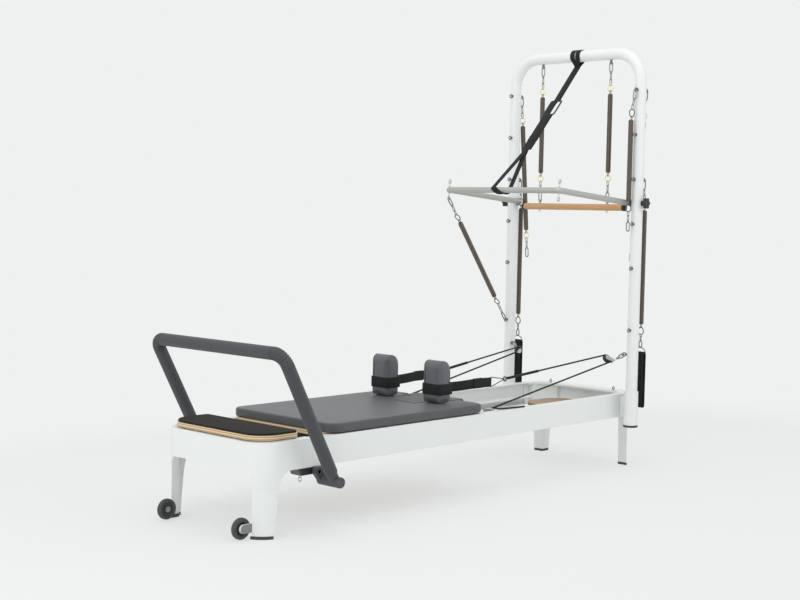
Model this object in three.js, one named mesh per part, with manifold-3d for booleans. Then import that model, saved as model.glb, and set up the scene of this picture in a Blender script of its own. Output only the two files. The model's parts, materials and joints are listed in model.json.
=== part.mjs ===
// Pilates reformer with a tower: white frame on four corner legs, sliding padded carriage,
// folding footbar, bent tube tower with a push-through bar, roll-down bar and hanging springs.
// Millimetres, +Z up, +X towards the tower, origin under the middle of the object on the floor.

import * as THREE from 'three';
import { mergeVertices } from 'three/addons/utils/BufferGeometryUtils.js';
import Module from 'manifold-3d';

const wasm = await Module();
wasm.setup();

// Clearances and shared small sizes
const seat = 0.3; // gap between pieces that touch or turn in each other
const linkGap = 0.8; // gap between a hook and the eye that it hangs in
const overrun = 6; // how far a cutter passes a face
const tubeSides = 12;
const rodSides = 10;
const pinSides = 8;
const wireSides = 4;
const ringSteps = 8;
const hookSteps = 6;
const cornerSegments = 5;
const filletSegments = 3;

// Frame
const frame = {
  length: 2486,
  width: 610,
  top: 367,
  railHeight: 113,
  wall: 12,
  flange: 44,
  flangeThickness: 10,
};
const pad = { height: 12, proud: 1 };
const footEnd = {
  corner: 100,
  wing: 262,
  legThickness: 32,
  legFrontWidth: 62,
  legFrontTaper: 4,
  legSideTop: 101,
  legSideBottom: 71,
  frontArch: 34,
  sideArch: 64,
};
const headEnd = {
  corner: 130,
  wing: 163,
  endFlange: 84,
  legThickness: 40,
  legEndTop: 82,
  legEndBottom: 66,
  legSideTop: 82,
  legSideBottom: 68,
  arch: 30,
  eyeFromEnd: 66,
  eyeInset: 108,
};
const rail = {
  depth: 35,
  wall: 5,
  flange: 6,
  lowerFlange: 43,
  trackReach: 73,
  trackTop: 300,
  trackThickness: 6,
};
const wheel = { radius: 41.5, width: 18, ahead: 28, inset: 77, lift: 2.5, hub: 16, dish: 3, sides: 16 };
const wheelBracket = { thickness: 11, radius: 17, pin: 5, head: 8.5, headThickness: 3, into: 22 };

// Standing platform
const platform = {
  setback: 12,
  depth: 204,
  sideInset: 25,
  lift: 5,
  board: 18,
  frontCorner: 95,
  backCorner: 20,
};
const gripPad = { thickness: 8, inset: 4, bevel: 2 };
const boss = { radius: 12, fromEdge: 26, alongShare: 0.42 };

// Spring bar and carriage springs
const springBar = {
  fromFront: 301,
  thickness: 8,
  top: 322,
  height: 54,
  footLength: 40,
  slot: 7,
  slotDepth: 14,
};
const carriageSpring = { count: 5, pitch: 55, radius: 10, height: 290, hook: 10, wire: 2.5, taper: 14 };

// Shelf at the head end
const shelf = { fromEnd: 92, length: 300, width: 290, thickness: 15, top: 300, corner: 110, tongue: 120 };

// Tower
const tower = { fromEnd: 183, outset: 78.5, top: 2058, radius: 28, bend: 140, bendSteps: 6, foot: 230.5 };
const eyelet = {
  ring: 8,
  wire: 3,
  shank: 4,
  stand: 4,
  headStand: 14,
  pitch: 214.5,
  lowest: 690,
  fromTop: 210,
};
const eyeletRows = { count: 5, headSide: [0, 2] };
const socket = { radius: 34, top: 392, bottom: 226, ringProud: 1.5, ringHeight: 10 };
const socketLug = { offset: 20, length: 28, bottom: 264, top: 356 };
const barHook = { fromBarEnd: 108 };

// Push-through bar
const pushBar = {
  reach: 564,
  rise: 48,
  armInset: 44.5,
  radius: 14,
  corner: 16,
  cornerSteps: 4,
  aboveRollBar: 22,
  boss: 18,
  bossWidth: 10,
  eyeOut: 41,
};
const knob = {
  stud: 6,
  stem: 11,
  stemLength: 12,
  radius: 28,
  thickness: 20,
  lobes: 6,
  lobeSteps: 4,
  lobeShare: 0.1,
  bevel: 3,
};

// Roll-down bar
const rollBar = { radius: 16.5, endGap: 39.5, fromTop: 775, cap: 14, capProud: 1 };

// Hanging springs: distances are measured down from the eyelet that carries each one
const hook = { ring: 7.5, wire: 2.4, shank: 2.6 };
const roundRing = { halfWidth: 18, halfHeight: 17, wire: 2.2 };
const longRing = { halfWidth: 12, halfHeight: 21, wire: 2.2 };
const barrel = { radius: 12.2, neck: 5, taper: 26, gap: 3 };
const rollSpring = { topLength: 145, lowLength: 135.7 };
const armSpring = { topLength: 142, lowLength: 132, hangLength: 830, leanDegrees: 4.2 };
const legSpring = { topLength: 140, lowLength: 104, hangLength: 815, swayX: 16 };
const barSpring = { topLength: 137, lowLength: 136, hangLength: 678, swayX: -10, swayY: 16 };
const drawnSpring = { topLength: 147, lowLength: 154 };
const legStrap = {
  width: 45,
  height: 276,
  depth: 24,
  thickness: 4,
  ringHeight: 26,
  ringShoulder: 10,
  ringWire: 2.5,
};
const safetyStrap = {
  offset: 20,
  loopWidth: 33,
  neckWidth: 28,
  bandWidth: 44,
  legWidth: 24,
  legSpread: 54,
  thickness: 3,
  slack: 1.5,
  wrapSteps: 8,
  neckShare: 0.09,
  keeperShare: 0.36,
  splitShare: 0.68,
};
const keeper = { halfWidth: 26, halfHeight: 16, wire: 2.5 };

// Footbar
const footbar = {
  pivotFromFront: 276,
  pivotHeight: 238,
  crankX: 28,
  crankZ: -35,
  topX: -247,
  topZ: 472,
  outset: 83,
  tube: 21.5,
  pad: 25.5,
  corner: 72,
  cornerSteps: 4,
  stubOut: 36,
  sideGap: 2,
  boss: 18,
  bossWidth: 24,
  pin: 8,
  padGap: 20,
};
const carrier = {
  back: 91,
  front: 41,
  height: 28,
  slant: 18,
  width: 56,
  lip: 24,
  lipThickness: 6,
  hookThickness: 8,
  tie: 10,
};
const lockRing = { back: 53, stem: 3, stemIn: 12, stemOut: 10, ring: 9, wire: 2.4 };

// Carriage
const carriage = { fromFront: 361, board: 16, boardInset: 40, boardLead: 15, top: 410 };
const mattress = { length: 930, overhang: 3, thickness: 38, corner: 50, bevel: 8, slotCorner: 14 };
const headrest = {
  length: 286,
  reach: 56,
  narrowHalf: 97,
  wideHalf: 142,
  wideLength: 101,
  gap: 4,
  corner: 22,
};
const rest = {
  fromHead: 156,
  halfSpan: 157,
  depth: 76,
  width: 96,
  height: 184,
  lift: 5,
  bevel: 9,
  corner: 12,
};
const restPost = { depth: 26, width: 16, hole: 3 };
const roller = {
  radius: 26,
  width: 16,
  inset: 59,
  axle: 5,
  chamfer: 1,
  frontFromEdge: 90,
  backFromEdge: 800,
};
const chassis = {
  beamInset: 89,
  beamWidth: 14,
  beamHeight: 12,
  hanger: 20,
  anchorFromEdge: 500,
  reach: 116,
  cleat: 24,
};

// Hand straps, ropes and pulleys
const handStrap = {
  gap: 1.5,
  thickness: 4,
  bottom: 450,
  height: 48,
  joinX: 86,
  endX: 333,
  endY: 187,
  cord: 2.5,
};
const strapRing = { x: 421, y: 197, z: 489, radius: 9, wire: 3 };
const rope = { radius: 4, wrapSteps: 10 };
const pulley = {
  back: 62,
  inset: 28,
  height: 545,
  radius: 21,
  groove: 4,
  width: 14,
  rim: 1,
  bore: 4,
  cheek: 3,
};
const pulleyBlock = {
  plate: 14,
  reach: 35,
  bridge: 6,
  swivel: 3,
  linkRing: 8,
  linkWire: 2.5,
  eyeHeight: 570,
};

// Places worked out from the sizes
const wheelLead = wheel.ahead + wheel.radius;
const frontX = (wheelLead - frame.length) / 2;
const headX = frontX + frame.length;
const halfWidth = frame.width / 2;
const railBottom = frame.top - frame.railHeight;
const towerX = headX - tower.fromEnd;
const innerRail = halfWidth - rail.depth;
const carriageX = frontX + carriage.fromFront;
const boardTop = carriage.top - mattress.thickness;
const ropeHeight = boardTop + rope.radius;
const wheelY = halfWidth - wheel.inset;
const headEyeY = halfWidth - headEnd.eyeInset;
const platformHalf = halfWidth - platform.sideInset;
const beamY = halfWidth - chassis.beamInset;
const rollerY = halfWidth - roller.inset;
const pulleyY = halfWidth - pulley.inset;
const footbarY = halfWidth + footbar.outset;
const postY = halfWidth + tower.outset;
const topBarZ = tower.top - tower.radius;
const pushBarY = postY - pushBar.armInset;
const rollBarHalf = postY - tower.radius - rollBar.endGap;
const barHookY = rollBarHalf - barHook.fromBarEnd;
const rollBarZ = tower.top - rollBar.fromTop;
const pivotZ = rollBarZ + pushBar.aboveRollBar;

// Colours, roughness and metalness
const looks = {
  white: { color: 0xe9ebea, roughness: 0.45, metalness: 0.0 },
  blackPlastic: { color: 0x1c1d1e, roughness: 0.6, metalness: 0.0 },
  rubber: { color: 0x2a2b2c, roughness: 0.85, metalness: 0.0 },
  ply: { color: 0xd9b98f, roughness: 0.6, metalness: 0.0 },
  wood: { color: 0xc69c6d, roughness: 0.5, metalness: 0.0 },
  grip: { color: 0x2b2a29, roughness: 0.95, metalness: 0.0 },
  vinyl: { color: 0x55585a, roughness: 0.55, metalness: 0.0 },
  footbarGrey: { color: 0x4b4d50, roughness: 0.6, metalness: 0.0 },
  steel: { color: 0xa7a9aa, roughness: 0.35, metalness: 1.0 },
  spring: { color: 0x7a7068, roughness: 0.4, metalness: 0.8 },
  aluminium: { color: 0xa9aaa7, roughness: 0.4, metalness: 0.9 },
  webbing: { color: 0x141414, roughness: 0.9, metalness: 0.0 },
};

// Solids from three.js geometries
function solidOf(geometry) {
  const bare = new THREE.BufferGeometry();
  bare.setAttribute('position', geometry.getAttribute('position'));
  if (geometry.index) bare.setIndex(geometry.index);
  const merged = mergeVertices(bare, seat / 1000);
  const vertProperties = Float32Array.from(merged.getAttribute('position').array);
  const triVerts = facingOut(vertProperties, Uint32Array.from(merged.index.array));
  return new wasm.Manifold(new wasm.Mesh({ numProp: 3, vertProperties, triVerts }));
}

function facingOut(points, triangles) {
  const corner = (index) => new THREE.Vector3().fromArray(points, 3 * index);
  let volume = 0;
  for (let i = 0; i < triangles.length; i += 3) {
    const [a, b, c] = [corner(triangles[i]), corner(triangles[i + 1]), corner(triangles[i + 2])];
    volume += a.dot(b.cross(c));
  }
  return volume < 0 ? triangles.reverse() : triangles;
}

function geometryOf(solid) {
  const { numProp, vertProperties, triVerts } = solid.getMesh();
  const geometry = new THREE.BufferGeometry();
  const source = new THREE.InterleavedBuffer(Float32Array.from(vertProperties), numProp);
  const points = new Float32Array(source.count * 3);
  for (let i = 0; i < source.count; i += 1) {
    for (let axis = 0; axis < 3; axis += 1) points[3 * i + axis] = source.array[numProp * i + axis];
  }
  geometry.setAttribute('position', new THREE.BufferAttribute(points, 3));
  geometry.setIndex(new THREE.BufferAttribute(Uint32Array.from(triVerts), 1));
  geometry.computeVertexNormals();
  return geometry;
}

const join = (...solids) => solids.flat().reduce((sum, next) => sum.add(next));
const cut = (solid, ...cutters) => cutters.flat().reduce((left, next) => left.subtract(next), solid);
const at = (x, y, z) => new THREE.Vector3(x, y, z);

function addPart(group, name, solid, look) {
  const part = new THREE.Mesh(geometryOf(solid), new THREE.MeshStandardMaterial(look));
  part.name = name;
  group.add(part);
  return part;
}

// A closed outline from corners [x, y, radius], with round corners as arcs
function outline(corners) {
  const shape = new THREE.Shape();
  corners.forEach(([x, y, radius = 0], index) => {
    const here = new THREE.Vector2(x, y);
    const before = new THREE.Vector2(...corners.at(index - 1).slice(0, 2)).sub(here).normalize();
    const after = new THREE.Vector2(...corners[(index + 1) % corners.length].slice(0,
      2)).sub(here).normalize();
    if (radius === 0) {
      if (index === 0) shape.moveTo(x, y);
      else shape.lineTo(x, y);
      return;
    }
    const half = Math.acos(THREE.MathUtils.clamp(before.dot(after), -1, 1)) / 2;
    const middle = before.clone().add(after).setLength(radius / Math.sin(half)).add(here);
    const start = before.clone().multiplyScalar(radius / Math.tan(half)).add(here).sub(middle);
    const end = after.clone().multiplyScalar(radius / Math.tan(half)).add(here).sub(middle);
    shape.absarc(middle.x, middle.y, radius, start.angle(), end.angle(), before.cross(after) > 0);
  });
  return shape;
}

const rectangle = (x0, x1, y0, y1, radius = 0) =>
  outline([[x0, y0, radius], [x1, y0, radius], [x1, y1, radius], [x0, y1, radius]]);

// Two round ends of different size joined by their common tangents, the first at the origin
function linkOutline(first, second, length) {
  const lean = Math.acos((first - second) / length);
  const shape = new THREE.Shape();
  shape.absarc(0, 0, first, lean, 2 * Math.PI - lean);
  shape.absarc(length, 0, second, -lean, lean);
  return shape;
}

// Extrusion of an outline along one axis: x takes (y, z), y takes (x, z) and z takes (x, y)
function slab(shape, axis, from, to, options = {}) {
  const bevel = options.bevel ?? 0;
  const geometry = new THREE.ExtrudeGeometry(shape, {
    depth: to - from - 2 * bevel,
    curveSegments: options.segments ?? filletSegments,
    bevelEnabled: bevel > 0,
    bevelThickness: bevel,
    bevelSize: bevel,
    bevelOffset: -bevel,
    bevelSegments: options.bevelSegments ?? 2,
  });
  geometry.translate(0, 0, bevel);
  const turn = new THREE.Matrix4();
  if (axis === 'x') turn.makeBasis(at(0, 1, 0), at(0, 0, 1), at(1, 0, 0)).setPosition(from, 0, 0);
  if (axis === 'y') turn.makeBasis(at(1, 0, 0), at(0, 0, 1), at(0, -1, 0)).setPosition(0, to, 0);
  if (axis === 'z') turn.setPosition(0, 0, from);
  geometry.applyMatrix4(turn);
  return solidOf(geometry);
}

const block = (x0, x1, y0, y1, z0, z1) => slab(rectangle(x0, x1, y0, y1), 'z', z0, z1);

// Turned piece: profile of [distance along, radius] from a start point in a direction
function turned(profile, start, direction, sides = tubeSides) {
  const points = profile.map(([along, radius]) => new THREE.Vector2(radius, along));
  const geometry = new THREE.LatheGeometry(points, sides);
  const turn = new THREE.Quaternion().setFromUnitVectors(at(0, 1, 0), direction.clone().normalize());
  geometry.applyQuaternion(turn).translate(start.x, start.y, start.z);
  return solidOf(geometry);
}

function rod(start, end, radius, sides = tubeSides) {
  const direction = end.clone().sub(start);
  const length = direction.length();
  return turned([[0, 0], [0, radius], [length, radius], [length, 0]], start, direction, sides);
}

// A round or long ring, with its long way and its first facet corner in the given direction
function ring(centre, axis, radius, wire, options = {}) {
  const { towards = at(0, 0, 1), reach = radius, steps = ringSteps } = options;
  const geometry = new THREE.TorusGeometry(radius, wire, wireSides, steps);
  const points = geometry.getAttribute('position');
  for (let i = 0; i < points.count; i += 1) {
    const across = Math.hypot(points.getX(i), points.getY(i));
    points.setX(i, points.getX(i) + ((reach - radius) * points.getX(i)) / across);
  }
  const across = axis.clone().cross(towards).normalize();
  const first = across.clone().cross(axis).normalize();
  geometry.applyMatrix4(new THREE.Matrix4().makeBasis(first, across,
    axis.clone().normalize()).setPosition(centre));
  return solidOf(geometry);
}

// Radius of a faceted bore that clears a round piece of the given radius
const boreFor = (radius, sides) => (radius + seat) / Math.cos(Math.PI / sides);

// A route through chosen points, with one step of the extrusion at each of them
class Route extends THREE.Curve {
  constructor(points) {
    super();
    this.points = points;
  }

  getPoint(t, target = new THREE.Vector3()) {
    const place = t * (this.points.length - 1);
    const first = Math.min(Math.floor(place), this.points.length - 2);
    return target.lerpVectors(this.points[first], this.points[first + 1], place - first);
  }

  getPointAt(t, target) {
    return this.getPoint(t, target);
  }

  getTangentAt(t, target = new THREE.Vector3()) {
    const index = Math.round(t * (this.points.length - 1));
    const here = this.points[index];
    const before = this.points[index - 1] ?? here;
    const after = this.points[index + 1] ?? here;
    const arriving = here.clone().sub(before).normalize();
    const leaving = after.clone().sub(here).normalize();
    return target.copy(arriving).add(leaving).normalize();
  }
}

function tube(points, radius, sides = tubeSides) {
  const section = new THREE.Shape();
  for (let side = 0; side < sides; side += 1) {
    const angle = (2 * Math.PI * side) / sides;
    if (side === 0) section.moveTo(radius, 0);
    else section.lineTo(radius * Math.cos(angle), radius * Math.sin(angle));
  }
  const route = new Route(points);
  const geometry = new THREE.ExtrudeGeometry(section, {
    steps: points.length - 1,
    extrudePath: route,
    bevelEnabled: false,
    curveSegments: 1,
  });
  return solidOf(geometry);
}

// The points of a bent tube: straight runs with an arc of the given radius at each corner
function bent(corners, radius, steps) {
  const points = [corners[0]];
  for (let i = 1; i < corners.length - 1; i += 1) {
    const back = corners[i - 1].clone().sub(corners[i]).normalize();
    const on = corners[i + 1].clone().sub(corners[i]).normalize();
    const half = back.angleTo(on) / 2;
    const reach = radius / Math.tan(half);
    const centre = back.clone().add(on).setLength(radius / Math.sin(half)).add(corners[i]);
    const start = back.clone().multiplyScalar(reach).add(corners[i]).sub(centre);
    const axis = on.clone().cross(back).normalize();
    for (let step = 0; step <= steps; step += 1) {
      const angle = ((Math.PI - 2 * half) * step) / steps;
      points.push(start.clone().applyAxisAngle(axis, angle).add(centre));
    }
  }
  points.push(corners.at(-1));
  return points;
}

// Closed eye on a short shank that stands on a surface
function eye(base, direction, axis, sunk = eyelet.wire) {
  const centre = base.clone().addScaledVector(direction, eyelet.ring);
  const root = base.clone().addScaledVector(direction, -sunk);
  const loop = ring(centre, axis, eyelet.ring, eyelet.wire, { towards: direction, steps: hookSteps });
  return join(loop, rod(root, base, eyelet.shank, wireSides));
}

// Frame castings: a band with a top flange, whose corners run down as legs
function endOutline(end, inset, endInset, past) {
  const { nearX, farX, corner } = end;
  const away = Math.sign(farX - nearX);
  const x0 = nearX + away * endInset;
  const x1 = farX + away * past;
  const y = halfWidth - inset;
  const radius = Math.max(corner - Math.max(inset, endInset), overrun);
  return outline([[x0, -y, radius], [x1, -y], [x1, y], [x0, y, radius]]);
}

function endShell(end, inset, endInset, bottom, top) {
  const outer = slab(endOutline(end, 0, 0, 0), 'z', bottom, top, { segments: cornerSegments });
  const inner = slab(endOutline(end, inset, endInset, overrun), 'z', bottom - overrun, top + overrun,
    { segments: cornerSegments });
  return outer.subtract(inner);
}

function legBlocks(end, reach, bottom, top) {
  const away = Math.sign(end.farX - end.nearX);
  const edges = [end.nearX - away * overrun, end.nearX + away * reach].sort((a, b) => a - b);
  return [-1, 1].map((side) => {
    const ys = [side * (halfWidth - reach), side * (halfWidth + overrun)].sort((a, b) => a - b);
    return block(...edges, ...ys, bottom, top);
  });
}

const footEndPlan = { nearX: frontX, farX: frontX + footEnd.wing, corner: footEnd.corner };
const headEndPlan = { nearX: headX, farX: headX - headEnd.wing, corner: headEnd.corner };
const legFoot = pad.height + seat;

function footCasting() {
  const underFlange = frame.top - frame.flangeThickness;
  const band = endShell(footEndPlan, frame.wall, frame.wall, legFoot, frame.top);
  const flange = endShell(footEndPlan, frame.flange, frame.flange, underFlange, frame.top);
  const legs = endShell(footEndPlan, footEnd.legThickness, footEnd.legThickness, legFoot, underFlange)
    .intersect(join(legBlocks(footEndPlan, footEnd.corner, legFoot, underFlange)));
  const opening = halfWidth - footEnd.legFrontWidth;
  const frontWindow = slab(outline([
    [-opening - footEnd.legFrontTaper, -overrun],
    [opening + footEnd.legFrontTaper, -overrun],
    [opening, railBottom, footEnd.frontArch],
    [-opening, railBottom, footEnd.frontArch],
  ]), 'x', frontX - overrun, frontX + footEnd.legSideBottom);
  const sideEnd = footEndPlan.farX + overrun;
  const sideWindow = slab(outline([
    [frontX + footEnd.legSideBottom, -overrun],
    [sideEnd, -overrun],
    [sideEnd, railBottom],
    [frontX + footEnd.legSideTop, railBottom, footEnd.sideArch],
  ]), 'y', -halfWidth - overrun, halfWidth + overrun);
  const body = cut(join(band, flange, legs), frontWindow, sideWindow);
  const fittings = [-1, 1].map((side) => [wheelBracketSolid(side), platformBosses(side)]).flat(2);
  return join(body, fittings);
}

const wheelCentre = (side) => at(frontX - wheel.ahead, side * wheelY, wheel.radius + wheel.lift);

function wheelBracketSolid(side) {
  const centre = wheelCentre(side);
  const { radius, thickness, pin, head, headThickness, into } = wheelBracket;
  const face = wheelY + wheel.width / 2 + 2 * seat;
  const inner = wheelY - wheel.width / 2 - 2 * seat;
  const ys = [side * face, side * (face + thickness)].sort((a, b) => a - b);
  const lug = slab(outline([
    [centre.x - radius, centre.z - radius, radius - seat],
    [frontX + into, centre.z - radius],
    [frontX + into, centre.z + radius],
    [centre.x - radius, centre.z + radius, radius - seat],
  ]), 'y', ...ys);
  const axle = rod(at(centre.x, side * (face + pin), centre.z), at(centre.x, side * inner, centre.z), pin,
    rodSides);
  const cap = rod(at(centre.x, side * inner, centre.z),
    at(centre.x, side * (inner - headThickness), centre.z), head, rodSides);
  return [lug, axle, cap];
}

function platformBosses(side) {
  const y = side * (platformHalf - boss.fromEdge);
  const top = frame.top + platform.lift - seat;
  const y2 = side * platformHalf * boss.alongShare;
  const x = frontX + platform.setback + boss.fromEdge;
  const back = frontX + platform.depth - boss.fromEdge;
  return [[x, y2], [back, y]].map(([px, py]) =>
    rod(at(px, py, frame.top - frame.flangeThickness / 2), at(px, py, top), boss.radius, pinSides));
}

function headCasting() {
  const underFlange = frame.top - frame.flangeThickness;
  const band = endShell(headEndPlan, frame.wall, frame.wall, legFoot, frame.top);
  const flange = endShell(headEndPlan, frame.flange, headEnd.endFlange, underFlange, frame.top);
  const legs = endShell(headEndPlan, headEnd.legThickness, headEnd.legThickness, legFoot, underFlange)
    .intersect(join(legBlocks(headEndPlan, headEnd.corner, legFoot, underFlange)));
  const openTop = halfWidth - headEnd.legEndTop;
  const openBottom = halfWidth - headEnd.legEndBottom;
  const endWindow = slab(outline([
    [-openBottom, -overrun],
    [openBottom, -overrun],
    [openTop, railBottom, headEnd.arch],
    [-openTop, railBottom, headEnd.arch],
  ]), 'x', headX - headEnd.legSideBottom, headX + overrun);
  const sideEnd = headEndPlan.farX - overrun;
  const sideWindow = slab(outline([
    [sideEnd, -overrun],
    [headX - headEnd.legSideBottom, -overrun],
    [headX - headEnd.legSideTop, railBottom, headEnd.arch],
    [sideEnd, railBottom],
  ]), 'y', -halfWidth - overrun, halfWidth + overrun);
  const tongueTop = shelf.top - shelf.thickness - seat;
  const tongue = block(headX - shelf.fromEnd - shelf.tongue, headX - frame.wall / 2, -shelf.tongue / 2,
    shelf.tongue / 2,
    tongueTop - frame.flangeThickness, tongueTop);
  const eyes = [-1, 1].map((side) =>
    eye(at(headX - headEnd.eyeFromEnd, side * headEyeY, frame.top + eyelet.wire), at(0, 0, 1), at(0, 1, 0)));
  return join(cut(join(band, flange, legs), endWindow, sideWindow), tongue, eyes);
}

// Pads under the legs, cut from the same outlines a little wider
function legPad(end, size, side) {
  const away = Math.sign(end.farX - end.nearX);
  const reachX = size.legSideBottom + pad.proud;
  const reachY = (size.legFrontWidth ?? size.legEndBottom) + pad.proud;
  const xs = [end.nearX - away * overrun, end.nearX + away * reachX].sort((a, b) => a - b);
  const ys = [side * (halfWidth - reachY), side * (halfWidth + overrun)].sort((a, b) => a - b);
  const grown = slab(outline([
    [end.nearX - away * pad.proud, -halfWidth - pad.proud, end.corner],
    [end.farX, -halfWidth - pad.proud],
    [end.farX, halfWidth + pad.proud],
    [end.nearX - away * pad.proud, halfWidth + pad.proud, end.corner],
  ]), 'z', 0, pad.height, { segments: cornerSegments });
  const inner = slab(endOutline(end, size.legThickness + pad.proud, size.legThickness + pad.proud, overrun),
    'z',
    -overrun, pad.height + overrun, { segments: cornerSegments });
  return grown.subtract(inner).intersect(block(...xs, ...ys, -overrun, pad.height + overrun));
}

// Side rails: a channel with a track ledge for the rollers on its inner side
function sideRail(side) {
  const { wall, flange, lowerFlange, trackReach, trackTop, trackThickness, depth } = rail;
  const inner = halfWidth - wall;
  const profile = [
    [halfWidth, railBottom],
    [halfWidth, frame.top],
    [halfWidth - depth, frame.top],
    [halfWidth - depth, frame.top - flange],
    [inner, frame.top - flange],
    [inner, trackTop],
    [halfWidth - trackReach, trackTop],
    [halfWidth - trackReach, trackTop - trackThickness],
    [inner, trackTop - trackThickness],
    [inner, railBottom + flange],
    [halfWidth - lowerFlange, railBottom + flange],
    [halfWidth - lowerFlange, railBottom],
  ];
  const shape = outline(profile.map(([y, z]) => [side * y, z]));
  return slab(shape, 'x', footEndPlan.farX + seat, headEndPlan.farX - seat);
}

function platformOutline(inset) {
  const x0 = frontX + platform.setback + inset;
  const x1 = frontX + platform.setback + platform.depth - inset;
  const y = platformHalf - inset;
  const front = platform.frontCorner - inset;
  const back = platform.backCorner - inset;
  return outline([[x0, -y, front], [x1, -y, back], [x1, y, back], [x0, y, front]]);
}

const platformTop = frame.top + platform.lift + platform.board;
const platformBoard = () => slab(platformOutline(0), 'z', frame.top + platform.lift, platformTop,
  { segments: cornerSegments });
const platformPad = () => slab(platformOutline(gripPad.inset), 'z', platformTop + seat,
  platformTop + seat + gripPad.thickness,
    { segments: cornerSegments, bevel: gripPad.bevel, bevelSegments: 1 });

function springBarSolid() {
  const x = frontX + springBar.fromFront;
  const bottom = springBar.top - springBar.height;
  const half = halfWidth - rail.trackReach - overrun;
  const bar = block(x - springBar.thickness / 2, x + springBar.thickness / 2, -half, half, bottom,
    springBar.top);
  const feet = [-1, 1].map((side) => {
    const ys = [side * (half - overrun), side * (halfWidth - rail.wall - seat)].sort((a, b) => a - b);
    return block(x - springBar.footLength / 2, x + springBar.footLength / 2, ...ys, rail.trackTop + seat,
      springBar.top);
  });
  const slots = springPlaces().map((y) => block(x - springBar.footLength, x + springBar.footLength,
    y - springBar.slot / 2, y + springBar.slot / 2, springBar.top - springBar.slotDepth,
      springBar.top + overrun));
  return cut(join(bar, feet), slots);
}

const springPlaces = () => Array.from({ length: carriageSpring.count },
  (_, index) => (index - (carriageSpring.count - 1) / 2) * carriageSpring.pitch);

// Springs under the carriage, from the spring bar to the carriage's anchor
function carriageSpringSolid(y) {
  const { radius, height, hook: loop, wire, taper } = carriageSpring;
  const startX = frontX + springBar.fromFront;
  const endX = carriageX + chassis.anchorFromEdge;
  const hang = springBar.thickness / 2 + wire + seat;
  const bodyStart = startX + hang + loop;
  const bodyEnd = endX - hang - loop;
  const length = bodyEnd - bodyStart;
  const body = turned([
    [0, 0],
    [0, radius - wire],
    [taper, radius],
    [length - taper, radius],
    [length, radius - wire],
    [length, 0],
  ], at(bodyStart, y, height), at(1, 0, 0), pinSides);
  const loops = [[startX, 1], [endX, -1]].map(([x, inward]) => springLoop(x, y, inward, hang, loop));
  return join(body, loops);
}

// Open hook at a spring's end: over the bar's slot and down its far side
function springLoop(x, y, inward, hang, loop) {
  const { height, wire } = carriageSpring;
  const over = springBar.top - springBar.slotDepth + wire + seat;
  const back = x - inward * hang;
  const route = [
    at(x + inward * (hang + loop + wire), y, height),
    at(x + inward * hang, y, height + wire),
    at(x + inward * hang, y, over),
    at(back, y, over),
    at(back, y, over - loop),
  ];
  return tube(bent(route, wire, 1), wire - seat, wireSides);
}

// Shelf board inside the head end
function shelfBoard() {
  const x1 = headX - shelf.fromEnd;
  return slab(rectangle(x1 - shelf.length, x1, -shelf.width / 2, shelf.width / 2, shelf.corner), 'z',
    shelf.top - shelf.thickness, shelf.top, { segments: cornerSegments });
}

// Tower, in the tower's own group at x = 0
const eyeHeights = () => {
  const highest = tower.top - eyelet.fromTop;
  const regular = Array.from({ length: eyeletRows.count }, (_, index) => highest - index * eyelet.pitch);
  return [...regular, eyelet.lowest];
};

const eyeCentreOut = tower.radius + eyelet.stand + eyelet.ring;
const headEyeOut = tower.radius + eyelet.headStand + eyelet.ring;

function eyeOn(axisPoint, direction, axis, stand = eyelet.stand) {
  return eye(axisPoint.addScaledVector(direction, tower.radius + stand), direction, axis,
    stand + eyelet.wire);
}

function towerFrame() {
  const z = topBarZ;
  const arch = tube(bent([
    at(0, -postY, tower.foot),
    at(0, -postY, z),
    at(0, postY, z),
    at(0, postY, tower.foot),
  ], tower.bend, tower.bendSteps), tower.radius);
  const eyes = [-1, 1].map((side) => {
    const post = side * postY;
    const facesFoot = eyeHeights().map((height) => eyeOn(at(0, post, height), at(-1, 0, 0), at(0, 1, 0)));
    const facesHead = eyeHeights().filter((_, index) => eyeletRows.headSide.includes(index)).map((height) =>
      eyeOn(at(0, post, height), at(1, 0, 0), at(0, 1, 0), eyelet.headStand));
    const inward = pulleyDirection(side);
    const ropeEye = eyeOn(at(0, post, pulleyBlock.eyeHeight), inward, inward.clone().cross(at(0, 0, 1)));
    const barEye = eyeOn(at(0, side * barHookY, z), at(0, 0, -1), at(0, 1, 0));
    return [facesFoot, facesHead, ropeEye, barEye];
  }).flat(2);
  const pivots = [-1, 1].map((side) => rod(at(0, side * (postY - tower.radius - overrun), pivotZ),
    at(0, side * (postY + tower.radius + overrun), pivotZ), boreFor(knob.stud, pinSides), pinSides));
  return cut(join(arch, eyes), pivots);
}

function socketSolid(side) {
  const y = side * postY;
  const ringBottom = socket.bottom - socket.ringHeight;
  const column = rod(at(0, y, socket.bottom - seat), at(0, y, socket.top), socket.radius);
  const cap = rod(at(0, y, ringBottom), at(0, y, socket.bottom), socket.radius + socket.ringProud);
  const bore = rod(at(0, y, tower.foot - seat), at(0, y, socket.top + overrun),
    boreFor(tower.radius, tubeSides));
  const ys = [side * (halfWidth + seat), y].sort((a, b) => a - b);
  const lug = block(socketLug.offset, socketLug.offset + socketLug.length, ...ys, socketLug.bottom,
    socketLug.top);
  return cut(join(column, cap, lug), bore);
}

// The middle of the push-through bar's bent corner, in the bar's own group
function pushBarCorner(side) {
  const inset = pushBar.corner * (1 - Math.SQRT1_2);
  return at(inset - Math.hypot(pushBar.reach, pushBar.rise), side * (pushBarY - inset), 0);
}

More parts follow.
